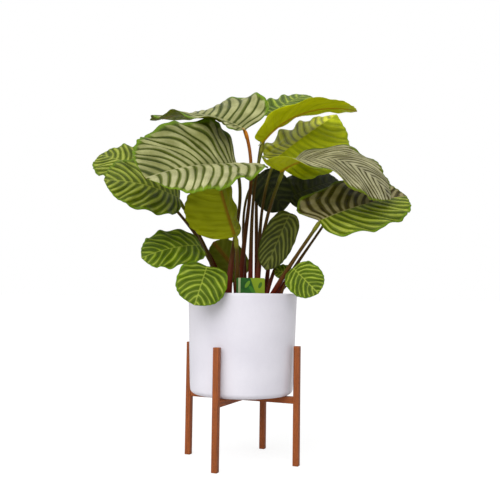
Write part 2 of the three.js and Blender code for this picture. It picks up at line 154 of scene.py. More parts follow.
LEAVES: dict[str, LeafSizes] = {
    "front_left": LeafSizes(
        base=(-18, -10, 768), tip=(-222, -228, 702), width=300, roll=-44, bend=30, right=(20, 6),
        right_tip=(-2, -12), left=(50, -28), left_tip=(24, -28), lobe=0.02, right_lobe=0.2, full=0.55,
        foot=(-38, -34), radius=(9, 4.5), foliage=Foliage.SILVERED, right_foliage=Foliage.GREYED, bands=15,
        pleat=1.2, sweep=0.2,
    ),
    "top_left": LeafSizes(
        base=(0, 15, 872), tip=(-240, 200, 946), width=260, roll=-20, twist=40, bend=40, right=(22, 0),
        right_tip=(0, 0), left=(40, 0), left_tip=(-22, 0), lobe=0.16, foot=(-8, 26), radius=(8, 4.5),
        foliage=Foliage.GREYED, bands=14, pleat=1.2, sweep=0.2, warm_top=True,
    ),
    "top_back": LeafSizes(
        base=(63, 100, 932), tip=(172, 170, 1013), width=150, roll=20, bend=20, foot=(36, 78),
        radius=(7, 4), foliage=Foliage.YOUNG, bands=10,
    ),
    "top_right": LeafSizes(
        base=(45, -14, 830), tip=(294, 20, 930), width=160, roll=-8, bend=66, right=(22, 0),
        right_tip=(-10, 0), left=(12, 0), right_lobe=0.14, full=0.65, foot=(18, -8), radius=(7, 4),
        foliage=Foliage.SILVERED, underside=Underside.BRIGHT, bands=12,
    ),
    "right_upright": LeafSizes(
        base=(80, 50, 798), tip=(254, 120, 941), width=256, roll=45, bend=10, right=(-20, 0), left=(-28, 0),
        foot=(38, 24), radius=(7, 4), foliage=Foliage.YELLOWISH, right_foliage=Foliage.SUNLIT,
        underside=Underside.BRIGHT, bands=14,
    ),
    "right_drooping": LeafSizes(
        base=(96, -25, 752), tip=(366, -100, 682), width=206, roll=30, bend=100, right=(80, 0),
        right_tip=(-18, 0), lobe=0.12, ease=0.35, foot=(34, -30), radius=(8, 4.5), foliage=Foliage.DUSKY,
        underside=Underside.BRIGHT, bands=18, pleat=0.9, sweep=0.32,
    ),
    "right_low": LeafSizes(
        base=(191, -90, 618), tip=(419, -30, 692), width=215, roll=35, bend=20, right=(0, -10),
        left=(10, 0), lobe=0.26, right_lobe=0.08, foot=(64, -52), radius=(8, 4.5), lean=0.4,
        foliage=Foliage.WINE, right_foliage=Foliage.GREEN, bands=13, pleat=1.5, sweep=0.24,
    ),
    "inner_right": LeafSizes(
        base=(121, 105, 700), tip=(264, 150, 760), width=155, roll=50, bend=20, foot=(60, 50),
        radius=(7, 4), foliage=Foliage.SHADED, bands=9,
    ),
    "inner_centre": LeafSizes(
        base=(42, 66, 763), tip=(109, 80, 667), width=110, roll=100, bend=20, foot=(4, 52), radius=(6, 3.5),
        foliage=Foliage.SHADED, bands=8,
    ),
    "front_hanging": LeafSizes(
        base=(-20, -98, 574), tip=(-66, -140, 722), width=212, roll=60, bend=20, right=(0, 8), left=(66, 0),
        right_lobe=-0.03, foot=(-14, -64), radius=(10, 5), foliage=Foliage.GREEN, underside=Underside.OLIVE,
        bands=11, pleat=0.5,
    ),
    "left": LeafSizes(
        base=(-169, -20, 680), tip=(-350, -90, 715), width=225, roll=-35, bend=30, right=(10, 0),
        left=(-5, -10), foot=(-62, 8), radius=(8, 4), foliage=Foliage.GREEN, bands=12, pleat=1.6, sweep=0.2,
    ),
    "far_left": LeafSizes(
        base=(-264, 90, 755), tip=(-415, 150, 824), width=175, roll=-42, bend=30, foot=(-48, 58),
        radius=(8, 4), foliage=Foliage.GREEN, bands=12, pleat=1.4, sweep=0.2,
    ),
    "low_left": LeafSizes(
        base=(-110, -40, 556), tip=(-252, -90, 520), width=155, roll=-40, bend=30, foot=(-56, -18),
        radius=(5, 3), foliage=Foliage.YOUNG, bands=9, pleat=1.3, sweep=0.24,
    ),
    "over_rim": LeafSizes(
        base=(-88, -130, 498), tip=(-113, -170, 405), width=126, roll=-35, bend=20, lobe=0.12,
        foot=(-58, -72), radius=(4, 2.5), foliage=Foliage.YOUNG, bands=8, pleat=1.3, sweep=0.28,
    ),
    "behind_stems": LeafSizes(
        base=(-4, 72, 477), tip=(-82, 78, 570), width=100, roll=90, bend=10, foot=(12, 98), radius=(5, 3),
        foliage=Foliage.SHADED, bands=8, pleat=0.5,
    ),
    "hanging_right": LeafSizes(
        base=(122, -10, 646), tip=(59, -60, 498), width=86, roll=-50, bend=20, foot=(58, -4),
        radius=(6, 3.5), lean=0.3, foliage=Foliage.DARK, bands=9, pleat=1.2, sweep=0.3,
    ),
    "small_right": LeafSizes(
        base=(127, -80, 498), tip=(186, -120, 436), width=95, roll=60, bend=20, foot=(92, -60),
        radius=(3.5, 2.5), lean=0.3, foliage=Foliage.YOUNG, bands=8, pleat=1.3, sweep=0.28,
    ),
    "smallest": LeafSizes(
        base=(125, -34, 487), tip=(83, -22, 492), width=45, roll=-60, bend=20, foot=(86, -8), radius=(3, 2),
        foliage=Foliage.YOUNG, bands=6, pleat=0.4,
    ),
    "back_right": LeafSizes(
        base=(252, 100, 681), tip=(395, 245, 745), width=190, roll=12, bend=30, foot=(80, 24),
        radius=(6, 3.5), lean=0.4, foliage=Foliage.GREEN, bands=12, pleat=1.2,
    ),
    "back_left": LeafSizes(
        base=(-104, 138, 752), tip=(-214, 246, 829), width=170, roll=-10, bend=30, foot=(-18, 100),
        radius=(7, 4), foliage=Foliage.SILVERED, bands=12, pleat=1.1,
    ),
}


def from_screen(colour: Colour) -> tuple[float, ...]:
    """Turns a colour as seen on a screen into what a colour socket takes.

    Args:
        colour: Its red, green and blue shares, 0 to 255.

    Returns:
        The linear shares, 0 to 1, and full opacity.
    """
    shares = (value / 255 for value in colour)
    linear = (share / 12.92 if share < 0.04 else ((share + 0.055) / 1.055) ** 2.4 for share in shares)
    return (*linear, 1.0)


def ease(value: np.ndarray, low: float, high: float) -> np.ndarray:
    """Rises smoothly from 0 to 1 as value goes from low to high."""
    share = np.clip((value - low) / (high - low), 0, 1)
    return share * share * (3 - 2 * share)


def unit(vectors: np.ndarray) -> np.ndarray:
    """Scales vectors to length one."""
    return vectors / np.maximum(np.linalg.norm(vectors, axis=-1, keepdims=True), 1e-9)


def turned_by(points: np.ndarray, degrees: float) -> np.ndarray:
    """Turns points about the Z axis."""
    return points @ np.array(Matrix.Rotation(math.radians(degrees), 3, "Z")).T


def capped(first: np.ndarray, rings: np.ndarray, last: np.ndarray) -> np.ndarray:
    """Lists a first point, the points of all rings, and a last point."""
    return np.concatenate([[first], rings.reshape(-1, 3), [last]])


def tube_faces(rings: int, sides: int) -> Faces:
    """Lists the faces of a tube whose ends close on one point each.

    Args:
        rings: How many rings it has.
        sides: How many points each ring has.

    Returns:
        The faces, for points in the order that capped gives.
    """
    faces: Faces = []
    last = 1 + rings * sides
    for k in range(sides):
        after = (k + 1) % sides
        faces.append((0, 1 + after, 1 + k))
        faces.append((last, last - sides + k, last - sides + after))
        for a in range(1, last - sides, sides):
            b = a + sides
            faces.append((a + k, a + after, b + after, b + k))
    return faces


def turned(profile: Sequence[Pair], sides: int) -> tuple[np.ndarray, Faces]:
    """Turns a profile about the Z axis.

    Args:
        profile: Points of radius and height, anticlockwise, that start and end on the axis.
        sides: How many steps go round.

    Returns:
        The points and faces of a closed body.
    """
    (_, first), *_, (_, last) = profile
    inner = np.array(profile[1:-1], float)
    angle = 2 * np.pi * np.arange(sides) / sides
    across, depth = inner[:, :1] * np.cos(angle), inner[:, :1] * np.sin(angle)
    rings = np.stack([across, depth, np.repeat(inner[:, 1:], sides, 1)], -1)
    return capped((0, 0, first), rings, (0, 0, last)), tube_faces(len(inner), sides)


def rounding(centre: Pair, radius: float, start: float, end: float, steps: int) -> list[Pair]:
    """Lists the points of an arc, from a start to an end angle in degrees."""
    angles = np.radians(np.linspace(start, end, steps + 1))
    return [(centre[0] + radius * math.cos(a), centre[1] + radius * math.sin(a)) for a in angles]


def wall_radius(height: float) -> float:
    """Gives the outer radius of the pot's wall at a height."""
    return FOOT_RADIUS + (RIM_RADIUS - FOOT_RADIUS) * (height - BAR_TOP) / (POT_RIM - BAR_TOP)


def new_object(name: str, data: bpy.types.ID) -> bpy.types.Object:
    """Makes an object and links it to the scene.

    Args:
        name: Its name.
        data: Its mesh, lamp or camera.

    Returns:
        The object.
    """
    made = bpy.data.objects.new(name, data)
    bpy.context.scene.collection.objects.link(made)
    return made


def take_shape(shape: bmesh.types.BMesh) -> tuple[np.ndarray, Faces]:
    """Reads an edited mesh and frees it.

    Args:
        shape: The edited mesh.

    Returns:
        Its points and its faces.
    """
    points = np.array([v.co for v in shape.verts])
    faces = [tuple(v.index for v in f.verts) for f in shape.faces]
    shape.free()
    return points, faces


@dataclass
class Body:
    """Points and faces of one mesh while it is put together, in millimetres."""

    points: list[np.ndarray] = field(default_factory=list)
    notes: list[np.ndarray] = field(default_factory=list)
    faces: Faces = field(default_factory=list)
    slots: list[int] = field(default_factory=list)
    count: int = 0

    def add(self, points: np.ndarray, faces: Faces, notes: np.ndarray | None = None, slot: int = 0) -> None:
        """Adds a closed shell.

        Args:
            points: Its points, one row each.
            faces: Its faces, as rows of point numbers.
            notes: Three numbers a point that the shader reads, or None for the points themselves.
            slot: The material slot of its faces.
        """
        self.points.append(points)
        self.notes.append(points if notes is None else notes)
        self.faces.extend(tuple(index + self.count for index in face) for face in faces)
        self.slots.extend([slot] * len(faces))
        self.count += len(points)

    def to_object(
        self, name: str, materials: Sequence[bpy.types.Material], note: str = ""
    ) -> bpy.types.Object:
        """Makes the Blender object.

        Args:
            name: The piece's name.
            materials: One material for each slot.
            note: The name of the attribute that carries the notes, or nothing to leave them out.

        Returns:
            The object, linked to the scene.
        """
        mesh = bpy.data.meshes.new(name)
        mesh.from_pydata((np.concatenate(self.points) * MM).tolist(), [], self.faces)
        mesh.polygons.foreach_set("material_index", self.slots)
        mesh.polygons.foreach_set("use_smooth", [True] * len(self.faces))
        if note:
            attribute = mesh.attributes.new(note, "FLOAT_VECTOR", "POINT")
            attribute.data.foreach_set("vector", np.concatenate(self.notes).astype(np.float32).ravel())
        for material in materials:
            mesh.materials.append(material)
        mesh.update()
        return new_object(name, mesh)


def place_piece(piece: bpy.types.Object, node: str) -> None:
    """Lets a piece ride on the part and stand for its CAD node.

    Args:
        piece: The finished piece.
        node: The CAD node that it stands for.
    """
    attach(piece, "root")
    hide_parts(node)
    LOG.info("%s: %d faces for %s", piece.name, len(piece.data.polygons), node)


class Wire:
    """A value in a node tree, which plain arithmetic joins to others."""

    def __init__(self, sketch: NodeSketch, socket: bpy.types.NodeSocket) -> None:
        """Keeps the socket and the sketch of its tree."""
        self.sketch = sketch
        self.socket = socket

    def __add__(self, other: Wire | float) -> Wire:
        """Adds another value."""
        return self.sketch.math("ADD", self, other)

    def __sub__(self, other: Wire | float) -> Wire:
        """Takes another value away."""
        return self.sketch.math("SUBTRACT", self, other)

    def __rsub__(self, other: float) -> Wire:
        """Takes the value away from a number."""
        return self.sketch.math("SUBTRACT", other, self)

    def __mul__(self, other: Wire | float) -> Wire:
        """Multiplies by another value."""
        return self.sketch.math("MULTIPLY", self, other)

    def __truediv__(self, other: Wire | float) -> Wire:
        """Divides by another value."""
        return self.sketch.math("DIVIDE", self, other)

    def __pow__(self, other: float) -> Wire:
        """Raises the value to a power."""
        return self.sketch.math("POWER", self, other)

    def __abs__(self) -> Wire:
        """Leaves the sign out."""
        return self.sketch.math("ABSOLUTE", self)

    def smooth(self, low: Wire | float, high: Wire | float, start: float = 0.0, end: float = 1.0) -> Wire:
        """Goes smoothly from start at low to end at high, and stays there outside the two."""
        values = dict(enumerate((self, low, high, start, end)))
        return self.sketch.wire("MapRange", values, interpolation_type="SMOOTHSTEP")

    def toned(self, factor: Wire) -> Wire:
        """Darkens or lightens a colour by a factor."""
        return self.sketch.wire("VectorMath", {0: self, "Scale": factor}, operation="SCALE")

    def parts(self) -> list[Wire]:
        """Splits a vector into its three values."""
        node = self.sketch.add("SeparateXYZ", {0: self})
        return [Wire(self.sketch, socket) for socket in node.outputs]


class NodeSketch:
    """A short way to add shader nodes to one tree and join them."""

    def __init__(self, tree: bpy.types.NodeTree) -> None:
        """Keeps the tree that nodes go to."""
        self.tree = tree

    def add(self, kind: str, values: Mapping[str | int, object], **settings: object) -> bpy.types.Node:
        """Adds a node.

        Args:
            kind: The node's type, without the word ShaderNode.
            values: A wire, a number or a colour for each input, by the input's name or number.
            settings: Properties to set on the node.

        Returns:
            The node.
        """
        node = self.tree.nodes.new("ShaderNode" + kind)
        for name, setting in settings.items():
            setattr(node, name, setting)
        for key, value in values.items():
            socket = node.inputs[key]
            if isinstance(value, Wire):
                self.tree.links.new(value.socket, socket)
            else:
                socket.default_value = from_screen(value) if socket.type == "RGBA" else value
        return node

    def wire(
        self, kind: str, values: Mapping[str | int, object], output: str | int = 0, **settings: object
    ) -> Wire:
        """Adds a node as add does and gives one of its outputs, by its name or number."""
        return Wire(self, self.add(kind, values, **settings).outputs[output])

    def math(self, operation: str, *values: Wire | float) -> Wire:
        """Adds a Math node with its inputs in order."""
        return self.wire("Math", dict(enumerate(values)), operation=operation)

    def mix(self, share: Wire | float, first: Wire | Colour, second: Wire | Colour) -> Wire:
        """Mixes two colours, with share of the second."""
        return self.wire("Mix", {0: share, 6: first, 7: second}, 2, data_type="RGBA")

    def mix_shader(self, share: Wire | float, first: Wire, second: Wire) -> Wire:
        """Mixes two shaders, with share of the second."""
        return self.wire("MixShader", {0: share, 1: first, 2: second})

    def noise(self, place: Wire, scale: Wire | float, detail: float = 2.0, roughness: float = 0.5) -> Wire:
        """Reads a noise texture around 0.5, detail being its finer layers, roughness their strength."""
        values = {"Vector": place, "Scale": scale, "Detail": detail, "Roughness": roughness}
        return self.wire("TexNoise", values, "Fac")

    def vector(self, *values: Wire | float) -> Wire:
        """Joins three values to a vector."""
        return self.wire("CombineXYZ", dict(enumerate(values)))

    def place(self) -> Wire:
        """Reads the place on the part, in metres."""
        return self.wire("TexCoord", {}, "Object")

    def seen(self) -> Wire:
        """Gives 1 for what the camera sees directly and 0 for all other light."""
        return self.wire("LightPath", {}, "Is Camera Ray")

    def bump(self, height: Wire, distance: float, strength: float = 1.0) -> Wire:
        """Turns a height from 0 to 1 into a normal, with distance in metres for a height of 1."""
        return self.wire("Bump", {"Height": height, "Distance": distance, "Strength": strength})


class GroupSketch(NodeSketch):
    """The tree of a shared node group with named inputs and outputs."""

    def __init__(self, name: str, inputs: Sequence[str], outputs: Sequence[str]) -> None:
        """Makes the group, in which Place is a vector and all other sockets are numbers.

        Args:
            name: The group's name.
            inputs: Names of its inputs.
            outputs: Names of its outputs.
        """
        super().__init__(bpy.data.node_groups.new(name, "ShaderNodeTree"))
        for names, way in ((inputs, "INPUT"), (outputs, "OUTPUT")):
            for socket in names:
                kind = "NodeSocketVector" if socket == "Place" else "NodeSocketFloat"
                self.tree.interface.new_socket(name=socket, in_out=way, socket_type=kind)
        source = self.tree.nodes.new("NodeGroupInput")
        self.given = [Wire(self, source.outputs[socket]) for socket in inputs]
        self.target = self.tree.nodes.new("NodeGroupOutput")

    def give(self, **outputs: Wire) -> bpy.types.NodeTree:
        """Puts values on the group's outputs.

        Args:
            outputs: A wire for each output, by its name.

        Returns:
            The group.
        """
        for name, value in outputs.items():
            self.tree.links.new(value.socket, self.target.inputs[name])
        return self.tree


class SharedEffects:
    """The node groups that more than one material uses, each built once."""

    def __init__(self) -> None:
        """Builds the groups."""
        self.bands = self._bands()
        self.mottle = self._mottle()

    @staticmethod
    def _bands() -> bpy.types.NodeTree:
        """Builds the leaf's pattern along its side veins.

        Returns:
            The group. Phase counts the bands along the blade, Across is 0 at the midrib, 1 at the left
            margin and -1 at the right one, Rib is the distance from the midrib in millimetres, Share is
            how much of a band is silver and Feather how ragged its edge is.
        """
        sketch = GroupSketch(
            "Leaf bands",
            ("Phase", "Across", "Rib", "Share", "Feather"),
            ("Silver", "Line", "Streak", "Margin", "Midrib", "Relief"),
        )
        phase, signed, rib, share, feather = sketch.given
        across = abs(signed)
        # Fine streaks along the side veins, and a beat that differs from band to band
        streak = sketch.noise(sketch.vector(phase * 11.0, across * 1.6, 0.0), 1.0, 3.0, 0.6)
        nearest = sketch.math("ROUND", phase) * 3.7
        beat = sketch.noise(sketch.vector(nearest, across * 1.2, 7.0), 1.0, 1.0)
        # How far a place is from the middle of its band, 0 to 1, and how ragged the edges are there
        away = abs(sketch.math("FRACT", phase + 0.5) - 0.5) * 2.0
        rough = (streak - 0.5) * feather
        edge = across + rough * 0.25
        # The silver narrows to nothing by the margin and a little by the midrib
        narrow = edge.smooth(0.86, 0.985, 1.0, 0.0)
        width = share * beat.smooth(0.3, 0.7, 0.72, 1.2) * narrow * rib.smooth(0.5, 14.0, 0.8, 1.0)
        ragged = away + rough
        line = ragged.smooth(0.8, 0.96) * beat.smooth(0.3, 0.7, 1.0, 0.6)
        margin = edge.smooth(0.9, 0.97)
        return sketch.give(
            Silver=ragged.smooth(width - 0.18, width + 0.18, 1.0, 0.0),
            Line=line * (1.0 - margin),
            Streak=streak * 0.6 + beat * 0.4,
            Margin=margin,
            Midrib=rib.smooth(0.7, 2.2, 1.0, 0.0),
            Relief=away.smooth(0.9, 1.0, 1.0, 0.0) * 0.7 + streak,
        )

    @staticmethod
    def _mottle() -> bpy.types.NodeTree:
        """Builds soft patches and fine specks for a grown or worn surface.

        Returns:
            The group. Place is where to read it and Size how many patches there are in a metre.
        """
        sketch = GroupSketch("Mottle", ("Place", "Size"), ("Patches", "Specks"))
        place, size = sketch.given
        patches = sketch.noise(place, size, 3.0).smooth(0.3, 0.7)
        return sketch.give(Patches=patches, Specks=sketch.noise(place, size * 14.0, 2.0, 0.7))


class MaterialSketch(NodeSketch):
    """The node tree of one material."""

    def __init__(self, name: str, effects: SharedEffects) -> None:
        """Makes an empty material.

        Args:
            name: Its name.
            effects: The shared node groups.
        """
        self.material = bpy.data.materials.new(name)
        self.material.use_nodes = True
        self.material.node_tree.nodes.clear()
        self.effects = effects
        super().__init__(self.material.node_tree)

    def note(self, name: str) -> list[Wire]:
        """Reads the three numbers that a mesh carries at each point under a name."""
        return self.wire("Attribute", {}, "Vector", attribute_name=name).parts()

    def group(self, tree: bpy.types.NodeTree, **values: Wire | float) -> dict[str, Wire]:
        """Places a shared effect and gives its outputs by name."""
        node = self.add("Group", values, node_tree=tree)
        return {socket.name: Wire(self, socket) for socket in node.outputs}

    def mottle(self, size: float) -> tuple[Wire, ...]:
        """Places the mottle, with size patches in a metre, and gives its patches and specks."""
        return tuple(self.group(self.effects.mottle, Place=self.place(), Size=size).values())

    def bands(self, share: float, feather: float) -> dict[str, Wire]:
        """Places the leaf's bands, of which share is silver, with edges as ragged as feather says."""
        places = dict(zip(("Phase", "Across", "Rib"), self.note("blade")))
        return self.group(self.effects.bands, **places, Share=share, Feather=feather)

    def principled(self, **values: Wire | float) -> Wire:
        """Adds a Principled shader, its inputs named with _ in place of a blank."""
        return self.wire("BsdfPrincipled", {name.replace("_", " "): value for name, value in values.items()})

    def finish(self, surface: Wire) -> bpy.types.Material:
        """Joins a shader to the material's output and gives the material."""
        self.add("OutputMaterial", {"Surface": surface})
        return self.material

    def plain(self, **values: Wire | float) -> bpy.types.Material:
        """Finishes the material with one Principled shader, its inputs named as principled takes them."""
        return self.finish(self.principled(**values))

    def leaf(
        self, colour: Wire, through: Colour, tint: float, share: float, **values: Wire | float
    ) -> bpy.types.Material:
        """Finishes a leaf's skin, which lets a share of the light through with a tint of a colour."""
        passing = self.wire("BsdfTranslucent", {"Color": self.mix(tint, colour, through)})
        return self.finish(self.mix_shader(share, self.principled(Base_Color=colour, **values), passing))


@dataclass(frozen=True)
class UpperFinish:
    """The colours and the pattern of a leaf's upper side."""

    deep: Colour
    green: Colour
    silver: Colour
    pale: Colour
    line: Colour
    margin: Colour
    share: float
    feather: float
    line_strength: float
    roughness: float = 0.38
    translucence: float = 0.22
    through: Colour = (160, 186, 20)

    def colour(self, sketch: MaterialSketch) -> tuple[Wire, Wire, Wire]:
        """Lays out the colours of one half.

        Args:
            sketch: The material's node tree.

        Returns:
            The colour, the streaks along the side veins and the relief.
        """
        bands = sketch.bands(self.share, self.feather)
        patches, specks = sketch.mottle(22.0)
        green = sketch.mix(patches, self.deep, self.green)
        silver = sketch.mix(patches, self.silver, self.pale)
        colour = sketch.mix(bands["Silver"], green, silver)
        colour = sketch.mix(bands["Line"] * self.line_strength, colour, self.line)
        colour = sketch.mix(bands["Margin"] * 0.8, colour, self.margin)
        colour = sketch.mix(bands["Midrib"] * 0.7, colour, self.pale)
        colour = colour.toned(bands["Streak"].smooth(0.32, 0.68, 0.76, 1.14))
        colour = colour.toned(specks.smooth(0.3, 0.7, 0.93, 1.05))
        return colour, bands["Streak"], bands["Relief"] + specks

    def build(self, sketch: MaterialSketch, right: UpperFinish) -> bpy.types.Material:
        """Makes the material.

        Args:
            sketch: The material's empty node tree.
            right: The finish of the right half.

        Returns:
            The material.
        """
        colour, streak, relief = self.colour(sketch)
        if right is not self:
            left_half = sketch.note("blade")[1].smooth(-0.02, 0.02, 1.0, 0.0)
            colour = sketch.mix(left_half, colour, right.colour(sketch)[0])
        gloss = streak.smooth(0.2, 0.8, self.roughness - 0.06, self.roughness + 0.1)
        return sketch.leaf(
            colour, self.through, 0.45, self.translucence,
            Roughness=gloss, Normal=sketch.bump(relief, 0.001), Specular_IOR_Level=0.18,
        )


@dataclass(frozen=True)
class UnderFinish:
    """The colours of a leaf's back."""

    base: Colour
    light: Colour
    vein: Colour
    rib: Colour
    translucence: float
    through: Colour = (190, 206, 40)

    def build(self, sketch: MaterialSketch) -> bpy.types.Material:
        """Makes the material.

        Args:
            sketch: The material's empty node tree.

        Returns:
            The material.
        """
        bands = sketch.bands(0.5, 0.5)
        patches, _ = sketch.mottle(16.0)
        colour = sketch.mix(patches, self.base, self.light)
        colour = sketch.mix(bands["Silver"] * 0.22, colour, self.vein)
        near_rib = sketch.note("blade")[2].smooth(1.5, 9.0, 0.9, 0.0)
        colour = sketch.mix(near_rib, colour, self.rib)
        colour = colour.toned(bands["Streak"].smooth(0.25, 0.75, 0.9, 1.08))
        return sketch.leaf(
            colour, self.through, 0.5, self.translucence,
            Roughness=0.5, Normal=sketch.bump(bands["Relief"], 0.0011), Specular_IOR_Level=0.12,
        )


UPPER_FINISHES: dict[Foliage, UpperFinish] = {
    Foliage.SILVERED: UpperFinish(
        deep=(84, 96, 14), green=(104, 118, 22), silver=(164, 164, 112), pale=(196, 194, 144),
        line=(52, 58, 10), margin=(118, 152, 8), share=0.68, feather=0.3, line_strength=0.85,
    ),
    Foliage.GREYED: UpperFinish(
        deep=(66, 78, 4), green=(92, 104, 14), silver=(138, 140, 80), pale=(180, 180, 124),
        line=(40, 46, 2), margin=(108, 142, 6), share=0.66, feather=0.34, line_strength=0.9,
    ),
    # Painted sheen: the purple-grey tone of the silver and pale stands for a sheen on the blade. The bands
    # are the leaf's own.
    Foliage.DUSKY: UpperFinish(
        deep=(64, 56, 22), green=(100, 94, 42), silver=(146, 142, 100), pale=(190, 186, 146),
        line=(38, 22, 14), margin=(112, 134, 10), share=0.68, feather=0.3, line_strength=0.95,
    ),
    # Painted sheen: a darker purple-grey like DUSKY, standing for a sheen over the leaf's own bands.
    Foliage.WINE: UpperFinish(
        deep=(56, 46, 12), green=(84, 76, 24), silver=(122, 114, 68), pale=(160, 150, 108),
        line=(30, 14, 8), margin=(104, 128, 6), share=0.5, feather=0.3, line_strength=0.95,
    ),
    Foliage.GREEN: UpperFinish(
        deep=(78, 95, 1), green=(104, 121, 3), silver=(144, 156, 44), pale=(170, 180, 74),
        line=(40, 48, 1), margin=(106, 136, 3), share=0.4, feather=0.32, line_strength=0.62,
    ),
    Foliage.YOUNG: UpperFinish(
        deep=(78, 102, 1), green=(100, 126, 3), silver=(144, 164, 40), pale=(172, 188, 66),
        line=(46, 66, 1), margin=(106, 142, 4), share=0.28, feather=0.3, line_strength=0.6,
    ),
    # Painted light: these colours are much lighter than the leaf's own, to make up for the shade that this
    # half lies in.
    Foliage.YELLOWISH: UpperFinish(
        deep=(172, 178, 2), green=(192, 198, 4), silver=(226, 228, 30), pale=(236, 238, 56),
        line=(116, 112, 1), margin=(184, 194, 2), share=0.56, feather=0.26, line_strength=0.9,
    ),
    Foliage.SUNLIT: UpperFinish(
        deep=(166, 178, 1), green=(184, 196, 2), silver=(190, 200, 4), pale=(200, 208, 14),
        line=(156, 166, 2), margin=(160, 178, 2), share=0.5, feather=0.3, line_strength=0.4,
        translucence=0.4,
    ),
    # Painted shade: a darkened copy of the green, for a leaf that hangs in the plant's shade.
    Foliage.DARK: UpperFinish(
        deep=(50, 56, 2), green=(68, 74, 6), silver=(96, 102, 30), pale=(112, 118, 46),
        line=(32, 34, 2), margin=(64, 76, 2), share=0.4, feather=0.24, line_strength=0.7,
    ),
    Foliage.SHADED: UpperFinish(
        deep=(20, 24, 2), green=(30, 35, 4), silver=(44, 50, 10), pale=(54, 60, 16),
        line=(12, 15, 2), margin=(32, 40, 4), share=0.36, feather=0.25, line_strength=0.5,
    ),
}

UNDER_FINISHES: dict[Underside, UnderFinish] = {
    # Painted light: this back is coloured far lighter than the leaf's own, to stand for light shining through
    # the blade.
    Underside.BRIGHT: UnderFinish(
        base=(196, 204, 2), light=(212, 218, 6), vein=(218, 222, 44), rib=(182, 140, 14), translucence=0.1
    ),
    Underside.OLIVE: UnderFinish(
        base=(146, 152, 2), light=(172, 178, 6), vein=(178, 184, 30), rib=(150, 104, 12), translucence=0.35
    ),
    Underside.DULL: UnderFinish(
        base=(102, 110, 10), light=(120, 126, 20), vein=(140, 146, 50), rib=(138, 94, 20), translucence=0.2
    ),
}


@dataclass(frozen=True)
class StalkFinish:
    """The colours of a stalk from the soil to the blade."""

    middle: Colour
    top: Colour
    knee: Colour
    foot: Colour = (100, 26, 6)

    def build(self, sketch: MaterialSketch) -> bpy.types.Material:
        """Makes the material.

        Args:
            sketch: The material's empty node tree.

        Returns:
            The material.
        """
        share, turn, left = sketch.note("stalk")
        grain = sketch.noise(sketch.vector(turn * 26.0, share * 5.0, 0.0), 1.0, 4.0, 0.6)
        _, specks = sketch.mottle(30.0)
        height = share + (grain - 0.5) * 0.5
        colour = sketch.mix(height.smooth(0.1, 0.45), self.foot, self.middle)
        colour = sketch.mix(height.smooth(0.62, 1.0), colour, self.top)
        colour = sketch.mix(left.smooth(26.0, 40.0, 1.0, 0.0), colour, self.knee)
        colour = colour.toned(grain.smooth(0.25, 0.75, 0.72, 1.2))
        colour = colour.toned(specks.smooth(0.3, 0.7, 0.85, 1.12))
        gloss = grain.smooth(0.2, 0.8, 0.32, 0.52)
        normal = sketch.bump(grain + specks, 0.0005)
        return sketch.plain(Base_Color=colour, Roughness=gloss, Normal=normal, Specular_IOR_Level=0.14)


WARM_STALK = StalkFinish(middle=(92, 56, 14), top=(164, 92, 14), knee=(196, 118, 14))
GREEN_STALK = StalkFinish(middle=(78, 54, 6), top=(86, 88, 14), knee=(116, 116, 22))


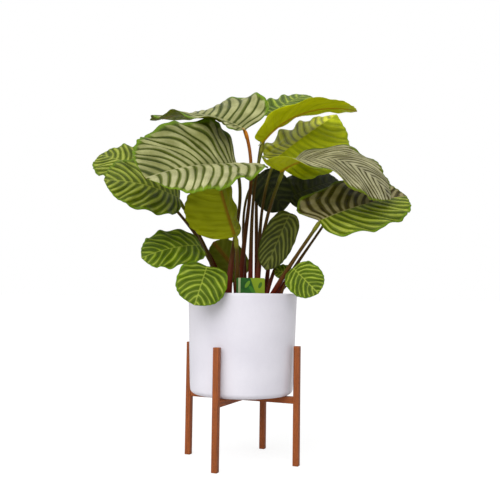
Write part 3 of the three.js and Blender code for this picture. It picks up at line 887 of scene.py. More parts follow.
class BladeSurface:
    """The curved surface of one blade, before its pleats."""

    def __init__(self, sizes: LeafSizes) -> None:
        """Works out the directions of the chord.

        Args:
            sizes: The leaf's sizes.
        """
        self.sizes = sizes
        self.start = np.array(sizes.base, float)
        chord = np.array(sizes.tip, float) - self.start
        self.chord = float(np.linalg.norm(chord))
        self.forward = chord / self.chord
        level = unit(np.cross((0.0, 0.0, 1.0), self.forward))
        upper = np.cross(self.forward, level)
        roll = math.radians(sizes.roll)
        self.side = level * math.cos(roll) + upper * math.sin(roll)
        self.up = upper * math.cos(roll) - level * math.sin(roll)
        self.arc = math.radians(sizes.bend)

    def midrib(self, share: np.ndarray) -> tuple[np.ndarray, np.ndarray, np.ndarray]:
        """Finds points of the midrib.

        Args:
            share: Shares of its length.

        Returns:
            The points, and the side and up directions there.
        """
        half = math.sin(self.arc / 2)
        angle = self.arc * (0.5 - share)[..., None]
        ahead = self.chord * (half - np.sin(angle)) / (2 * half)
        rise = self.chord * (np.cos(angle) - math.cos(self.arc / 2)) / (2 * half)
        point = self.start + self.forward * ahead + self.up * rise
        up = self.up * np.cos(angle) - self.forward * np.sin(angle)
        twist = math.radians(self.sizes.twist) * (share - 0.5)[..., None]
        side = self.side * np.cos(twist) + up * np.sin(twist)
        return point, side, up * np.cos(twist) - self.side * np.sin(twist)

    def outward(self, u: np.ndarray, v: np.ndarray) -> np.ndarray:
        """How far out a point is, as a share of the half width."""
        return np.maximum(np.sin(np.pi * u), 0) ** self.sizes.full * np.abs(v)

    def _slopes(self, along: np.ndarray, v: np.ndarray) -> tuple[np.ndarray, np.ndarray]:
        """Mixes each half's lift and curl between the base and the tip.

        Args:
            along: Shares of the midrib's length.
            v: Places across, negative on the right.

        Returns:
            Lift and curl in radians.
        """
        sizes = self.sizes
        blend = np.clip(along, 0, 1) ** sizes.ease
        found = []
        for i in range(2):
            right = sizes.right[i] + ((sizes.right_tip or sizes.right)[i] - sizes.right[i]) * blend
            left = sizes.left[i] + ((sizes.left_tip or sizes.left)[i] - sizes.left[i]) * blend
            found.append(np.radians(np.where(v < 0, right, left)))
        lift, curl = found
        return lift, np.where(np.abs(curl) < 1e-3, 1e-3, curl)

    def point(self, u: np.ndarray, v: np.ndarray) -> np.ndarray:
        """Finds points of the surface.

        Args:
            u: Places from base to tip along the margin, 0 to 1.
            v: Places across, -1 to 1, negative on the right.

        Returns:
            The points in millimetres.
        """
        across = np.abs(v)
        push = TIP_LENGTH * u**24
        vein = u**VEIN_CROWDING
        right_lobe = self.sizes.lobe if self.sizes.right_lobe is None else self.sizes.right_lobe
        lobe = np.where(v < 0, right_lobe, self.sizes.lobe) * np.sin(np.pi * np.minimum(LOBE_RATE * u, 1))
        margin = (1 - np.cos(np.pi * u)) / 2 - lobe + push
        along = vein + push + (margin - vein - push) * across**VEIN_CURVE
        out = self.outward(u, v)
        lift, curl = self._slopes(along, v)
        slope = lift + curl * out
        half = self.sizes.width / 2
        sideways = (np.sin(slope) - np.sin(lift)) / curl * half
        upwards = (np.cos(lift) - np.cos(slope)) / curl * half
        turn = 2 * np.pi * MARGIN_WAVES * vein + np.where(v > 0, LEFT_SHIFT, 0)
        ripple = MARGIN_WAVE * self.sizes.width * out**2 * np.sin(turn)
        point, side, up = self.midrib(along)
        hand = np.where(v < 0, -1, 1)
        sideways = hand * (sideways - ripple * np.sin(slope))
        return point + side * sideways[..., None] + up * (upwards + ripple * np.cos(slope))[..., None]


@dataclass
class Blade:
    """One leaf's blade, pleated along its side veins, with a channelled midrib."""

    name: str
    sizes: LeafSizes
    thickness: float = 0.8
    ridge_base: float = 3.0
    ridge_tip: float = 1.0
    ridge_width: float = 2.4
    channel: float = 0.9
    channel_width: float = 1.4
    finest: float = 1.5  # power that crowds the columns towards the midrib
    scallop: float = 0.012  # depth of the notches between the bands, as a share of the half width
    fold: float = 0.011  # height of a pleat, as a share of the width
    fold_level: float = 0.6  # part of a pleat that lies under the smooth surface
    stagger: float = 0.4  # how far the left half's bands lie ahead of the right half's
    slow_wave: float = 0.0022  # height of the slow unevenness, as a share of the width
    edge_wave: float = 0.014  # height of the fine wave at the margin, as a share of the width
    rows: Pair = (50, 150)  # least and most rows of faces from base to tip
    rows_a_band: int = 8
    columns: Pair = (14, 34)  # least and most columns of faces in each half

    def grid(self) -> tuple[np.ndarray, np.ndarray]:
        """Lays out the places on the blade, more of them on a larger one.

        Returns:
            u and v, one row for each step from base to tip, the ends included.
        """
        size = max(self.sizes.width, 100)
        rows = max(self.rows[0] + size * 0.3, self.rows_a_band * self.sizes.bands)
        rows = int(min(self.rows[1], rows))
        columns = 2 * int(min(self.columns[1], self.columns[0] + size * 0.08))
        steps = np.linspace(0, 1, rows + 1)
        u = 0.4 * steps + 0.3 * (1 - np.cos(np.pi * steps))
        spread = np.linspace(-1, 1, columns + 1)
        v = np.sign(spread) * np.abs(spread) ** self.finest
        return np.meshgrid(u, v, indexing="ij")

    def phase(self, u: np.ndarray, v: np.ndarray) -> np.ndarray:
        """Counts the bands along the blade, swept forward towards the margin.

        Args:
            u: Places from base to tip.
            v: Places across.

        Returns:
            The count at each place, whole in the middle of a silver band.
        """
        across = np.abs(v)
        swept = u - self.sizes.sweep * across**1.4 * np.sin(np.pi * u)
        slow = 0.1 * np.sin(9.0 * u + 2.6 * across + 4.0 * (v > 0))
        quick = 0.06 * np.sin(31.0 * u + 3.0 * across)
        return self.sizes.bands * swept + (slow + quick) + np.where(v > 0, self.stagger, 0)

    def relief(self, u: np.ndarray, v: np.ndarray, phase: np.ndarray, out: np.ndarray) -> np.ndarray:
        """Raises the pleats between the side veins, with slow unevenness and a fine wave at the margin.

        Args:
            u: Places from base to tip.
            v: Places across.
            phase: The count of bands along the blade.
            out: Shares of the half width.

        Returns:
            Heights in millimetres.
        """
        sizes = self.sizes
        random = np.random.default_rng(sum(self.name.encode()))
        fold = np.abs(np.cos(np.pi * phase)) - self.fold_level
        pleat = self.fold * sizes.width * sizes.pleat * ease(out, 0.04, 0.3) * fold
        fade = 1 - 0.7 * np.abs(v) ** 6
        uneven = np.zeros_like(u)
        for _ in range(6):
            across, along = random.uniform(1.0, 3.2), random.uniform(1.5, 5.0)
            turn = random.uniform(0, 2 * np.pi)
            uneven += np.sin(2 * np.pi * (across * v * np.sin(np.pi * u) + along * u) + turn)
        edge = np.abs(v) ** 7 * np.sin(np.pi * u) * np.sin(np.pi * phase * 0.8 + random.uniform(0, 6))
        edge *= self.edge_wave * min(1.0, 10 / sizes.bands)
        return pleat * fade + sizes.width * (self.slow_wave * uneven * ease(out, 0.1, 0.6) + edge)

    def build(self, upper: bpy.types.Material, under: bpy.types.Material) -> bpy.types.Object:
        """Makes the blade as one closed body.

        Args:
            upper: The material of its upper side.
            under: The material of its back and its edge.

        Returns:
            The piece.
        """
        surface = BladeSurface(self.sizes)
        u, v = self.grid()
        out = surface.outward(u, v)
        rib = out * self.sizes.width / 2
        phase = self.phase(u, v)
        middle = surface.point(u, v * (1 + self.scallop * np.abs(v) ** 6 * (np.cos(2 * np.pi * phase) - 1)))
        middle = middle + self._normals(middle) * self.relief(u, v, phase, out)[..., None]
        normal = self._normals(middle)
        along = np.sin(np.pi * np.clip(u, 0.02, 0.98))
        sunk = self.channel * np.exp(-((rib / self.channel_width) ** 2)) * along
        ridge = self.ridge_base + (self.ridge_tip - self.ridge_base) * u
        width = self.ridge_width * (1 - 0.55 * u)
        depth = self.thickness * (1 - 0.45 * np.abs(v) ** 8) + ridge * np.exp(-((rib / width) ** 2))
        top = self._sheet(middle - normal * sunk[..., None])
        back = self._sheet(middle - normal * depth[..., None])
        notes = self._sheet(np.stack([phase, v, rib], -1))
        counts = (u.shape[0] - 2, u.shape[1] - 1, len(top))
        front = self._skin(*counts[:2], 0)
        behind = [face[::-1] for face in self._skin(*counts)]
        rest = behind + self._rim(*counts)
        body = Body()
        body.add(np.concatenate([top, back]), front + rest, np.concatenate([notes, notes]))
        body.slots = [0] * len(front) + [1] * len(rest)
        return body.to_object(self.name, (upper, under), note="blade")

    @staticmethod
    def _normals(points: np.ndarray) -> np.ndarray:
        """Finds the upper side's normals on a grid of points.

        Args:
            points: The grid.

        Returns:
            Unit vectors, with those at the two ends taken from the rows beside them.
        """
        normal = unit(np.cross(np.gradient(points, axis=0), np.gradient(points, axis=1)))
        normal[0] = unit(normal[2].mean(0))
        normal[-1] = unit(normal[-3].mean(0))
        normal[1] = unit(normal[1] + normal[2])
        return normal

    @staticmethod
    def _sheet(grid: np.ndarray) -> np.ndarray:
        """Lists a grid's values: the base, the rows between, and the tip."""
        middle = grid.shape[1] // 2
        return capped(grid[0, middle], grid[1:-1], grid[-1, middle])

    @staticmethod
    def _skin(rows: int, columns: int, start: int) -> Faces:
        """Lists the faces of the upper side, or of the back when turned over.

        Args:
            rows: How many rows lie between the base and the tip.
            columns: How many faces there are across.
            start: The number of the base's point.

        Returns:
            The faces.
        """
        wide = columns + 1
        tip = start + 1 + rows * wide
        last = tip - wide
        faces: Faces = []
        for j in range(columns):
            faces.append((start, start + 1 + j, start + 2 + j))
            faces.append((tip, last + j + 1, last + j))
            for i in range(rows - 1):
                a = start + 1 + i * wide + j
                faces.append((a, a + wide, a + wide + 1, a + 1))
        return faces

    @staticmethod
    def _rim(rows: int, columns: int, half: int) -> Faces:
        """Lists the faces round the margin.

        Args:
            rows: How many rows lie between the base and the tip.
            columns: How many faces there are across.
            half: How many points each side has.

        Returns:
            The faces.
        """
        right = [1 + i * (columns + 1) for i in range(rows)]
        left = [start + columns for start in reversed(right)]
        margin = [0, *right, half - 1, *left, 0]
        return [(a, half + a, half + b, b) for a, b in zip(margin, margin[1:])]


@dataclass
class Stalk:
    """One leaf's stalk: a channelled sheath at the foot, a thin round part and a knee under the blade."""

    name: str
    sizes: LeafSizes
    depth: float = 14.0  # how far the foot goes into the mix
    sheath: float = 0.6  # share of the length that the sheath's taper takes
    sides: int = 20
    steps: int = 70
    knee: float = 32.0  # length of the thicker stretch under the blade
    swell: float = 0.22  # how much thicker that stretch is
    taper: float = 12.0  # length of the end that thins against the midrib
    end_share: float = 0.45  # how much of its thickness is left at the very end
    rise: float = 0.45  # how high its lower handle stands, as a share of the height
    approach: float = 0.3  # length of its upper handle, as a share of the distance
    steepness: float = 0.8  # how steeply it arrives, against its reach in units of spread
    spread: float = 600.0
    follow: float = 0.5  # how far it turns along the midrib as it arrives
    clearance: float = 3.0  # how far under the midrib's start it arrives
    under_rib: tuple[Pair, ...] = ((0.008, 2.6), (0.02, 2.2), (0.036, 1.6))  # share along, depth under
    widened: float = 0.12  # how much wider than deep the sheath is
    hollow: float = 0.26  # depth of the sheath's channel, as a share of the radius
    hollow_width: float = 0.4  # half width of that channel in radians

    def centreline(self) -> np.ndarray:
        """Finds the line that the stalk follows, from under the soil to the blade's midrib.

        Returns:
            Its points in millimetres.
        """
        sizes = self.sizes
        surface = BladeSurface(sizes)
        shares, depths = np.array(self.under_rib).T
        rib, side, up = surface.midrib(np.array([0.0, *shares]))
        tangent = np.cross(side[0], up[0])
        foot = np.array((*sizes.foot, SOIL_TOP), float)
        reach = surface.start - foot
        heading = np.array((reach[0] / self.spread, reach[1] / self.spread, self.steepness))
        arrival = unit(heading + self.follow * tangent)
        end = surface.start - up[0] * (self.clearance + sizes.radius[1] * 0.4)
        lower = foot + reach * (sizes.lean, sizes.lean, self.rise)
        upper = end - arrival * self.approach * np.linalg.norm(reach)
        t = np.linspace(0, 1, self.steps)[:, None]
        curve = (1 - t) ** 3 * foot + 3 * (1 - t) ** 2 * t * lower + 3 * (1 - t) * t**2 * upper + t**3 * end
        start = foot - unit(lower - foot) * self.depth
        along = rib[1:] - up[1:] * depths[:, None]
        line = np.concatenate([start[None], curve, along])
        for _ in range(3):
            line[-8:-1] = (line[-9:-2] + 2 * line[-8:-1] + line[-7:]) / 4
        return line

    def build(self, material: bpy.types.Material) -> bpy.types.Object:
        """Makes the stalk.

        Args:
            material: Its material.

        Returns:
            The piece.
        """
        line = self.centreline()
        tangent = unit(np.gradient(line, axis=0))
        steps = np.linalg.norm(np.diff(line, axis=0), axis=1)
        run = np.concatenate([[0.0], np.cumsum(steps)]) - self.depth
        length = run[-1]
        share = np.clip(run / length, 0, 1)
        left = length - run
        foot, top = self.sizes.radius
        sheath = np.clip(1 - share / self.sheath, 0, 1)
        radius = top + (foot - top) * sheath
        radius = radius * (1 + self.swell * ease(self.knee + 6 - left, 0, 8) * ease(left, 6, 16))
        thinned = self.end_share + (1 - self.end_share) * left / self.taper
        radius = radius * np.where(left < self.taper, thinned, 1)
        turn = np.arange(self.sides) / self.sides
        angle = 2 * np.pi * turn
        from_front = np.minimum(angle, 2 * np.pi - angle)
        sheath = sheath[:, None]
        channel = self.hollow * sheath * np.exp(-((from_front / self.hollow_width) ** 2))
        oval = 1 + self.widened * sheath * np.cos(2 * angle) - channel
        across = np.zeros_like(line)
        across[0] = unit(np.cross(tangent[0], (0.0, 1.0, 0.0)))
        for i in range(1, len(line)):
            across[i] = unit(across[i - 1] - tangent[i] * (across[i - 1] @ tangent[i]))
        third = np.cross(tangent, across)
        ring = across[:, None] * np.cos(angle)[:, None] + third[:, None] * np.sin(angle)[:, None]
        points = line[:, None] + ring * (radius[:, None] * oval)[..., None]
        notes = np.stack(np.broadcast_arrays(share[:, None], np.abs(turn - 0.5), left[:, None]), -1)
        body = Body()
        body.add(
            capped(line[0], points, line[-1]), tube_faces(len(line), self.sides),
            capped(notes[0, 0], notes, notes[-1, 0]),
        )
        return body.to_object(self.name, (material,), note="stalk")


@dataclass
class Plant:
    """All the leaves, each a blade and its stalk."""

    effects: SharedEffects

    def build(self) -> None:
        """Makes every leaf and puts it on the part."""
        effects = self.effects
        uppers: dict[str, bpy.types.Material] = {}
        unders = {}
        for kind, look in UNDER_FINISHES.items():
            unders[kind] = look.build(MaterialSketch(f"back_{kind.value}", effects))
        green = GREEN_STALK.build(MaterialSketch("stalk_green", effects))
        warm = WARM_STALK.build(MaterialSketch("stalk_warm", effects))
        for name, sizes in LEAVES.items():
            left, right = sizes.foliage, sizes.right_foliage or sizes.foliage
            finish = f"leaf_{left.value}_{right.value}"
            if finish not in uppers:
                sketch = MaterialSketch(finish, effects)
                uppers[finish] = UPPER_FINISHES[left].build(sketch, UPPER_FINISHES[right])
            blade = Blade(f"leaf_{name}", sizes).build(uppers[finish], unders[sizes.underside])
            place_piece(blade, f"blade_{name}")
            stalk = Stalk(f"stalk_{name}", sizes).build(warm if sizes.warm_top else green)
            place_piece(stalk, f"petiole_{name}")


@dataclass
class Pot:
    """The plain glazed pot, a slightly tapered cylinder with a soft lip."""

    effects: SharedEffects
    wall: float = 7.0
    floor: float = 9.0
    foot_round: float = 14.0
    flat: float = 60.0  # radius of the floor's middle face
    margins: Vector3 = (12.0, 8.0, 10.0)  # from the foot, the lip and the floor to the wall's rings
    sides: int = 160
    light: Colour = (220, 217, 225)
    dark: Colour = (212, 209, 218)

    def profile(self) -> list[Pair]:
        """Lists the outline from the underside's middle up the outside and down the inside.

        Returns:
            Points of radius and height.
        """
        bottom = BAR_TOP + GAP
        lip = self.wall / 2
        from_foot, from_lip, from_floor = self.margins
        shoulder = POT_RIM - lip - from_lip
        inside = bottom + self.floor
        inner = self.foot_round - self.wall
        foot = (wall_radius(bottom) - self.foot_round, bottom + self.foot_round)
        outer = rounding(foot, self.foot_round, -90, 0, 12)
        rise = [(wall_radius(z), z) for z in np.linspace(foot[1] + from_foot, shoulder, 14)]
        mouth = rounding((RIM_RADIUS - lip, POT_RIM - lip), lip, 0, 180, 10)
        levels = np.linspace(shoulder, inside + inner + from_floor, 10)
        fall = [(wall_radius(z) - self.wall, z) for z in levels]
        corner = rounding((wall_radius(inside) - self.foot_round, inside + inner), inner, 0, -90, 6)
        under, over = [(0, bottom), (self.flat, bottom)], [(self.flat, inside), (0, inside)]
        return [*under, *outer, *rise, *mouth, *fall, *corner, *over]

    def glaze(self) -> bpy.types.Material:
        """Makes the satin white glaze.

        Returns:
            The material.
        """
        sketch = MaterialSketch("satin_glaze", self.effects)
        patches, specks = sketch.mottle(9.0)
        colour = sketch.mix(patches, self.dark, self.light).toned(specks.smooth(0.3, 0.75, 0.985, 1.0))
        gloss = patches.smooth(0.0, 1.0, 0.34, 0.42)
        normal = sketch.bump(specks, 0.0002, 0.5)
        return sketch.plain(
            Base_Color=colour, Roughness=gloss, Normal=normal, Coat_Weight=0.25, Coat_Roughness=0.2
        )

    def build(self) -> None:
        """Makes the pot and puts it on the part."""
        body = Body()
        body.add(*turned(self.profile(), self.sides))
        place_piece(body.to_object("glazed_pot", (self.glaze(),)), "pot")


@dataclass(frozen=True)
class Grains:
    """One kind of grain in the mix: how many, the least and largest half size, proportions, colours."""

    name: str
    count: int
    size: Pair
    form: Vector3
    light: Colour
    dark: Colour


GRAINS = (
    Grains("dark_mix", 900, (1.2, 3.4), (1, 1, 0.8), light=(58, 42, 32), dark=(30, 22, 17)),
    Grains("bark_chips", 130, (2.4, 5.2), (1, 0.6, 0.3), light=(104, 72, 48), dark=(66, 44, 30)),
    Grains("grit", 90, (0.9, 1.9), (1, 1, 0.9), light=(196, 190, 178), dark=(164, 156, 142)),
)


@dataclass
class PottingMix:
    """The crowned, crumbly top of the potting mix, with crumbs, bark and grit."""

    effects: SharedEffects
    seed: int = 11
    wall_gap: float = 7.6  # from the pot's outside to the mix
    floor_gap: float = 9.3  # from the pot's underside to the mix
    chamfer: Pair = (6.0, 7.0)  # how far the lower corner is cut back, across and up
    inset: float = 7.0  # how much narrower the underside is than the top
    shoulder: float = 4.0  # how far the side's top lies under the mix's level
    clear: float = 4.0  # how far the grains stay from the edge
    raised: float = 0.35  # how far a grain lies above the mix, as a share of its half height
    tilt: float = 0.35  # how freely bark and grit are tipped
    sides: int = 170
    rings: int = 62

    def lumps(self, points: np.ndarray, random: np.random.Generator) -> np.ndarray:
        """Adds up waves of many lengths for an uneven ground.

        Args:
            points: Where to find the height.
            random: The source of chance.

        Returns:
            Heights in millimetres.
        """
        height = np.zeros(len(points))
        for length in np.geomspace(60, 3.5, 44):
            angle, turn = random.uniform(0, 2 * np.pi, 2)
            path = points[:, 0] * np.cos(angle) + points[:, 1] * np.sin(angle)
            height += 0.028 * length**0.72 * np.sin(2 * np.pi * path / length + turn)
        return height

    def crown(self, radius: float) -> float:
        """Gives the height of the mix at a distance from the middle."""
        return SOIL_TOP + SOIL_CROWN * (1 - min(radius / wall_radius(SOIL_TOP), 1) ** 1.7)

    def build(self) -> None:
        """Makes the mix and its grains and puts them on the part."""
        random = np.random.default_rng(self.seed)
        edge = wall_radius(SOIL_TOP) - self.wall_gap
        bottom = BAR_TOP + GAP + self.floor_gap
        low = wall_radius(bottom) - self.wall_gap - self.inset
        corner = (low + self.chamfer[0], bottom + self.chamfer[1])
        middle = (0, SOIL_TOP + SOIL_CROWN)
        top = [(edge * share, self.crown(edge * share)) for share in np.linspace(0.995, 0.02, self.rings)]
        profile = [(0, bottom), (low, bottom), corner, (edge, SOIL_TOP - self.shoulder), *top, middle]
        points, faces = turned(profile, self.sides)
        high = points[:, 2] > SOIL_TOP - self.shoulder / 2
        inside = ease(edge - np.hypot(*points[high, :2].T), 0, 8)
        points[high, 2] += self.lumps(points[high], random) * inside
        body = Body()
        body.add(points, faces)
        self._scatter(body, random, edge)
        mix = body.to_object("crumbly_mix", [self._earth(kind) for kind in GRAINS])
        place_piece(mix, "soil")

    def _scatter(self, body: Body, random: np.random.Generator, edge: float) -> None:
        """Strews the grains over the top.

        Args:
            body: The mesh that they join.
            random: The source of chance.
            edge: The radius of the top.
        """
        stone = bmesh.new()
        bmesh.ops.create_icosphere(stone, subdivisions=1, radius=1.0)
        ball, faces = take_shape(stone)
        for slot, kind in enumerate(GRAINS):
            for _ in range(kind.count):
                radius = (edge - self.clear) * math.sqrt(random.uniform(0, 1))
                angle = random.uniform(0, 2 * math.pi)
                size = random.uniform(*kind.size) * np.array(kind.form)
                spin = np.linalg.qr(random.normal(size=(3, 3)))[0]
                tilt = np.eye(3) if slot == 0 else spin * self.tilt + np.eye(3) * (1 - self.tilt)
                shape = ball * random.uniform(0.72, 1.25, (len(ball), 1)) * size @ tilt.T
                height = self.crown(radius) + size[2] * self.raised
                place = (radius * math.cos(angle), radius * math.sin(angle), height)
                body.add(shape + place, faces, slot=slot)

    def _earth(self, kind: Grains) -> bpy.types.Material:
        """Makes the dull, crumbly material of one kind of grain.

        Args:
            kind: The kind of grain.

        Returns:
            The material.
        """
        sketch = MaterialSketch(kind.name, self.effects)
        patches, specks = sketch.mottle(120.0)
        colour = sketch.mix(patches, kind.dark, kind.light).toned(specks.smooth(0.3, 0.7, 0.7, 1.25))
        normal = sketch.bump(specks, 0.0012)
        rough = specks.smooth(0.2, 0.8, 0.85, 1.0)
        return sketch.plain(Base_Color=colour, Roughness=rough, Normal=normal)


@dataclass
class Timber:
    """One length of wood, cut from an outline in the upright plane through the stand's axis.

    outline holds points of distance from the axis and height, anticlockwise. width is measured across
    the plane, edge is the rounding of its edges, angle the plane's direction in degrees, grain_start
    a shift that gives each piece its own grain, and upright says that the grain runs up the piece.
    """

    name: str
    outline: Sequence[Pair]
    width: float
    edge: float
    angle: float
    grain_start: float
    upright: bool
    pith: Pair = (9.0, 14.0)  # how far the middle of the tree lies from the piece's own

    def build(self, wood: bpy.types.Material) -> bpy.types.Object:
        """Cuts the piece and rounds its edges.

        Args:
            wood: Its material.

        Returns:
            The piece.
        """
        shape = bmesh.new()
        front = [shape.verts.new((x, -self.width / 2, z)) for x, z in self.outline]
        back = [shape.verts.new((x, self.width / 2, z)) for x, z in self.outline]
        shape.faces.new(front)
        shape.faces.new(back[::-1])
        for i, corner in enumerate(front):
            shape.faces.new((front[(i + 1) % len(front)], corner, back[i], back[(i + 1) % len(front)]))
        bmesh.ops.recalc_face_normals(shape, faces=shape.faces)
        bmesh.ops.bevel(shape, geom=shape.edges[:], offset=self.edge, segments=3, profile=0.5, affect="EDGES")
        points, faces = take_shape(shape)
        grain = points if self.upright else points[:, ::-1]
        notes = grain - (grain.mean(0) * (1, 1, 0)) + (*self.pith, self.grain_start)
        body = Body()
        body.add(turned_by(points, self.angle), faces, notes)
        return body.to_object(self.name, (wood,), note="grain")


@dataclass
class Stand:
    """The wooden stand: four square legs and two bars that cross in a half-lap."""

    effects: SharedEffects
    leg_height: float = 300.0
    leg_radius: float = 153.0
    front_leg_angle: float = -113.0
    wood_width: float = 15.0
    bar_height: float = 17.0
    leg_edge: float = 1.1
    bar_edge: float = 0.7
    leg_grain: float = 700.0  # how far apart the legs' grain is taken
    bar_grain: Pair = (3100.0, 4000.0)
    light: Colour = (160, 84, 32)
    dark: Colour = (112, 52, 18)
    pore: Colour = (64, 28, 12)

    def wood(self) -> bpy.types.Material:
        """Makes the lacquered reddish-brown wood, whose grain runs as its mesh says.

        Returns:
            The material.
        """
        sketch = MaterialSketch("lacquered_wood", self.effects)
        x, y, z = sketch.note("grain")
        warp = sketch.noise(sketch.vector(x, y, z * 0.09), 0.07, 2.0) * 7.0
        ring = sketch.math("SQRT", x**2.0 + y**2.0) + warp
        season = sketch.math("FRACT", ring * 0.42)
        fibre = sketch.noise(sketch.vector(x, y, z * 0.03), 1.9, 4.0, 0.65)
        pores = sketch.noise(sketch.vector(x, y, z * 0.06), 4.5, 1.0, 0.5)
        colour = sketch.mix(season.smooth(0.1, 0.9), self.light, self.dark)
        colour = sketch.mix(fibre.smooth(0.35, 0.7, 0.0, 0.75), colour, self.light)
        colour = sketch.mix(pores.smooth(0.6, 0.7, 0.0, 0.7), colour, self.pore)
        patches, _ = sketch.mottle(14.0)
        colour = colour.toned(patches.smooth(0.0, 1.0, 0.92, 1.06))
        gloss = fibre.smooth(0.3, 0.7, 0.42, 0.55)
        normal = sketch.bump(fibre - pores.smooth(0.6, 0.7), 0.0003)
        return sketch.plain(Base_Color=colour, Roughness=gloss, Normal=normal, Specular_IOR_Level=0.3)

    def build(self) -> None:
        """Makes the legs and bars and puts them on the part."""
        wood = self.wood()
        width, half = self.wood_width, self.wood_width / 2
        near, far = self.leg_radius - half, self.leg_radius + half
        post = [(near, 0), (far, 0), (far, self.leg_height), (near, self.leg_height)]
        for i, place in enumerate(("front_left", "front_right", "back_right", "back_left")):
            angle = self.front_leg_angle + 90 * i
            start = self.leg_grain * i
            leg = Timber(f"stand_leg_{place}", post, width, self.leg_edge, angle, start, upright=True)
            place_piece(leg.build(wood), f"leg_{place}")
        reach, lap = near - GAP, half + GAP
        low, middle, high = BAR_TOP - self.bar_height, BAR_TOP - self.bar_height / 2, BAR_TOP
        right = [(reach, low), (reach, high), (lap, high), (lap, middle - GAP / 2)]
        lower = [(-reach, low), *right, *((-x, z) for x, z in right[:0:-1])]
        upper = [(x, low + high - z) for x, z in lower][::-1]
        for i, (name, outline) in enumerate((("lower", lower), ("upper", upper))):
            angle = self.front_leg_angle + 90 * i
            start = self.bar_grain[i]
            bar = Timber(f"stand_bar_{name}", outline, width, self.bar_edge, angle, start, upright=False)
            place_piece(bar.build(wood), f"bar_{name}")


@dataclass(frozen=True)
class PrintedLeaf:
    """One leaf shape of the label's print: its middle, lean, half height and colour."""

    middle: Pair
    lean: float
    size: float
    shade: Colour


@dataclass
class PlantLabel:
    """The printed plastic card that stands in the mix, with a plain leaf motif."""

    effects: SharedEffects
    width: float = 71.0
    height: float = 92.0
    corner: float = 3.0
    bevel: float = 0.35
    half_thickness: float = 0.6
    half_edge: float = 0.35  # half the thickness that the bevel leaves at the edge
    place: Vector3 = (20.0, -104.0, 425.0)
    turn: float = 4.0
    ground: Colour = (12, 66, 6)
    worn_ground: Colour = (34, 98, 12)
    panel: Colour = (118, 142, 10)
    stripe: Colour = (158, 172, 128)

    def outline(self) -> np.ndarray:
        """Lists the card's outline with its rounded corners.

        Returns:
            Points about the card's middle.
        """
        x, z = self.width / 2 - self.corner, self.height / 2 - self.corner
        points: list[Pair] = []
        for i, (sx, sz) in enumerate(((1, 1), (-1, 1), (-1, -1), (1, -1))):
            points += rounding((sx * x, sz * z), self.corner, 90 * i, 90 * i + 90, 6)
        return np.array(points)

    def printing(self) -> bpy.types.Material:
        """Makes the card's print: a green ground, a yellow-green panel, leaf shapes and a stripe.

        Returns:
            The material.
        """
        sketch = MaterialSketch("printed_card", self.effects)
        x, _, z = sketch.note("card")
        patches, specks = sketch.mottle(40.0)
        ground = sketch.mix(patches, self.ground, self.worn_ground)
        colour = sketch.mix((x + z * 0.35).smooth(14.0, 17.0), ground, self.panel)
        for leaf in (
            PrintedLeaf((-8.0, 30.0), 0.5, 9.0, (92, 134, 20)),
            PrintedLeaf((4.0, 16.0), -0.6, 10.0, (52, 112, 16)),
            PrintedLeaf((24.0, 28.0), 0.3, 8.0, (60, 96, 8)),
        ):
            dz = z - leaf.middle[1]
            wide = ((x - leaf.middle[0] - dz * leaf.lean) / (leaf.size * 0.55)) ** 2.0
            inside = (wide + (dz / leaf.size) ** 2.0).smooth(0.9, 1.05, 1.0, 0.0)
            colour = sketch.mix(inside, colour, leaf.shade)
        colour = sketch.mix(abs(x + 28.0).smooth(2.6, 3.1, 1.0, 0.0), colour, self.stripe)
        gloss = specks.smooth(0.2, 0.8, 0.28, 0.4)
        return sketch.plain(Base_Color=colour, Roughness=gloss, Specular_IOR_Level=0.3)

    def build(self) -> None:
        """Makes the card and puts it on the part."""
        outline = self.outline()
        count = len(outline)
        layers = []
        sections = ((self.bevel, self.half_thickness), (0.0, self.half_edge))
        for inset, y in (*((inset, -y) for inset, y in sections), *sections[::-1]):
            x, z = (outline * (1 - 2 * inset / np.array((self.width, self.height)))).T
            layers.append(np.column_stack([x, np.full(count, y), z]))
        faces: Faces = [tuple(range(count)), tuple(range(4 * count - 1, 3 * count - 1, -1))]
        for layer in range(0, 3 * count, count):
            for k in range(count):
                a, b = layer + k, layer + (k + 1) % count
                faces.append((b, a, a + count, b + count))
        points = np.concatenate(layers)
        body = Body()
        body.add(turned_by(points, self.turn) + self.place, faces, points)
        card = body.to_object("name_card", (self.printing(),), note="card")
        for face in card.data.polygons[:2]:
            face.use_smooth = False
        place_piece(card, "plant_label")


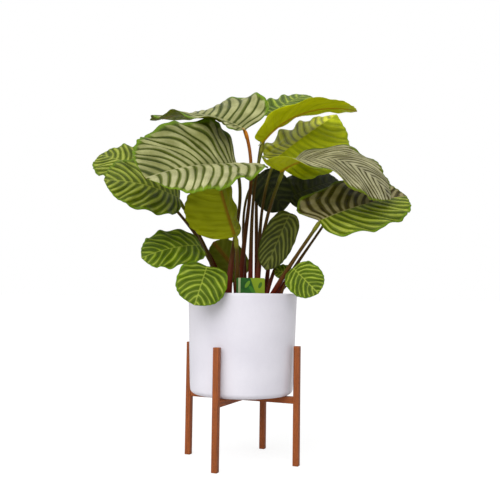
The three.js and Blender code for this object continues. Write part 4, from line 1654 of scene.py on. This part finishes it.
@dataclass
class Studio:
    """The pale floor, the soft light and the camera at the photograph's angle."""

    effects: SharedEffects
    floor_size: float = 60000.0
    paper: tuple[Colour, Colour] = ((196, 196, 196), (204, 204, 204))
    white: Colour = (255, 255, 255)
    horizon: float = 0.56
    zenith: float = 0.95
    glow: float = 1.5
    glow_share: float = 0.5
    key_strength: float = 2.3
    key_softness: float = 60.0
    key_turn: Pair = (42.0, -26.0)
    camera_place: Vector3 = (17.4, -1918.8, 431.4)
    look_up: float = 3.45
    lean: float = 0.78
    lens: float = 52.28
    sensor: float = 36.0

    def build(self) -> None:
        """Sets up the floor, the world, the light and the camera."""
        self._floor()
        self._world()
        self._key()
        self._camera()
        view = bpy.context.scene.view_settings
        view.view_transform = "Standard"
        view.look = "None"
        LOG.info("studio ready")

    def _floor(self) -> None:
        """Lays a wide, near-white floor that glows a little towards the camera, so its shadows stay faint."""
        sketch = MaterialSketch("studio_paper", self.effects)
        colour = sketch.mix(sketch.noise(sketch.place(), 2.0, 2.0), *self.paper)
        paper = sketch.principled(Base_Color=colour, Roughness=0.9, Specular_IOR_Level=0.1)
        glow = sketch.wire("Emission", {"Color": self.white, "Strength": self.glow})
        material = sketch.finish(sketch.mix_shader(sketch.seen() * self.glow_share, paper, glow))
        body = Body()
        corners = np.array([(-1.0, -1.0, 0.0), (1.0, -1.0, 0.0), (1.0, 1.0, 0.0), (-1.0, 1.0, 0.0)])
        body.add(corners * self.floor_size, [(0, 1, 2, 3)])
        body.to_object("studio_floor", (material,))

    def _world(self) -> None:
        """Fills the surroundings with soft light, stronger from above, seen as plain white."""
        world = bpy.data.worlds.new("studio_world")
        world.use_nodes = True
        world.node_tree.nodes.clear()
        sketch = NodeSketch(world.node_tree)
        height = sketch.wire("TexCoord", {}, "Generated").parts()[2]
        seen = sketch.seen()
        strength = (1.0 - seen) * height.smooth(0.0, 1.0, self.horizon, self.zenith) + seen
        background = sketch.wire("Background", {"Color": self.white, "Strength": strength})
        sketch.add("OutputWorld", {"Surface": background})
        bpy.context.scene.world = world

    def _key(self) -> None:
        """Adds the soft key light from the upper left, in front."""
        lamp = bpy.data.lights.new("key", "SUN")
        lamp.energy = self.key_strength
        lamp.angle = math.radians(self.key_softness)
        key = new_object("key", lamp)
        key.rotation_euler = (*(math.radians(turn) for turn in self.key_turn), 0)

    def _camera(self) -> None:
        """Places the camera as in the photograph."""
        data = bpy.data.cameras.new("camera")
        data.lens = self.lens
        data.sensor_width = self.sensor
        data.clip_start, data.clip_end = 0.05, 200.0
        camera = new_object("camera", data)
        turn = Matrix.Rotation(math.radians(90 + self.look_up), 4, "X")
        roll = Matrix.Rotation(math.radians(self.lean), 4, "Z")
        camera.matrix_world = Matrix.Translation([value * MM for value in self.camera_place]) @ turn @ roll
        bpy.context.scene.camera = camera


def main() -> None:
    """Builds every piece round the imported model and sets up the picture."""
    logging.basicConfig(level=logging.INFO, format="%(message)s")
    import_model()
    effects = SharedEffects()
    for assembly in (Studio, Plant, PottingMix, Pot, Stand, PlantLabel):
        assembly(effects).build()


if __name__ == "__main__":
    main()
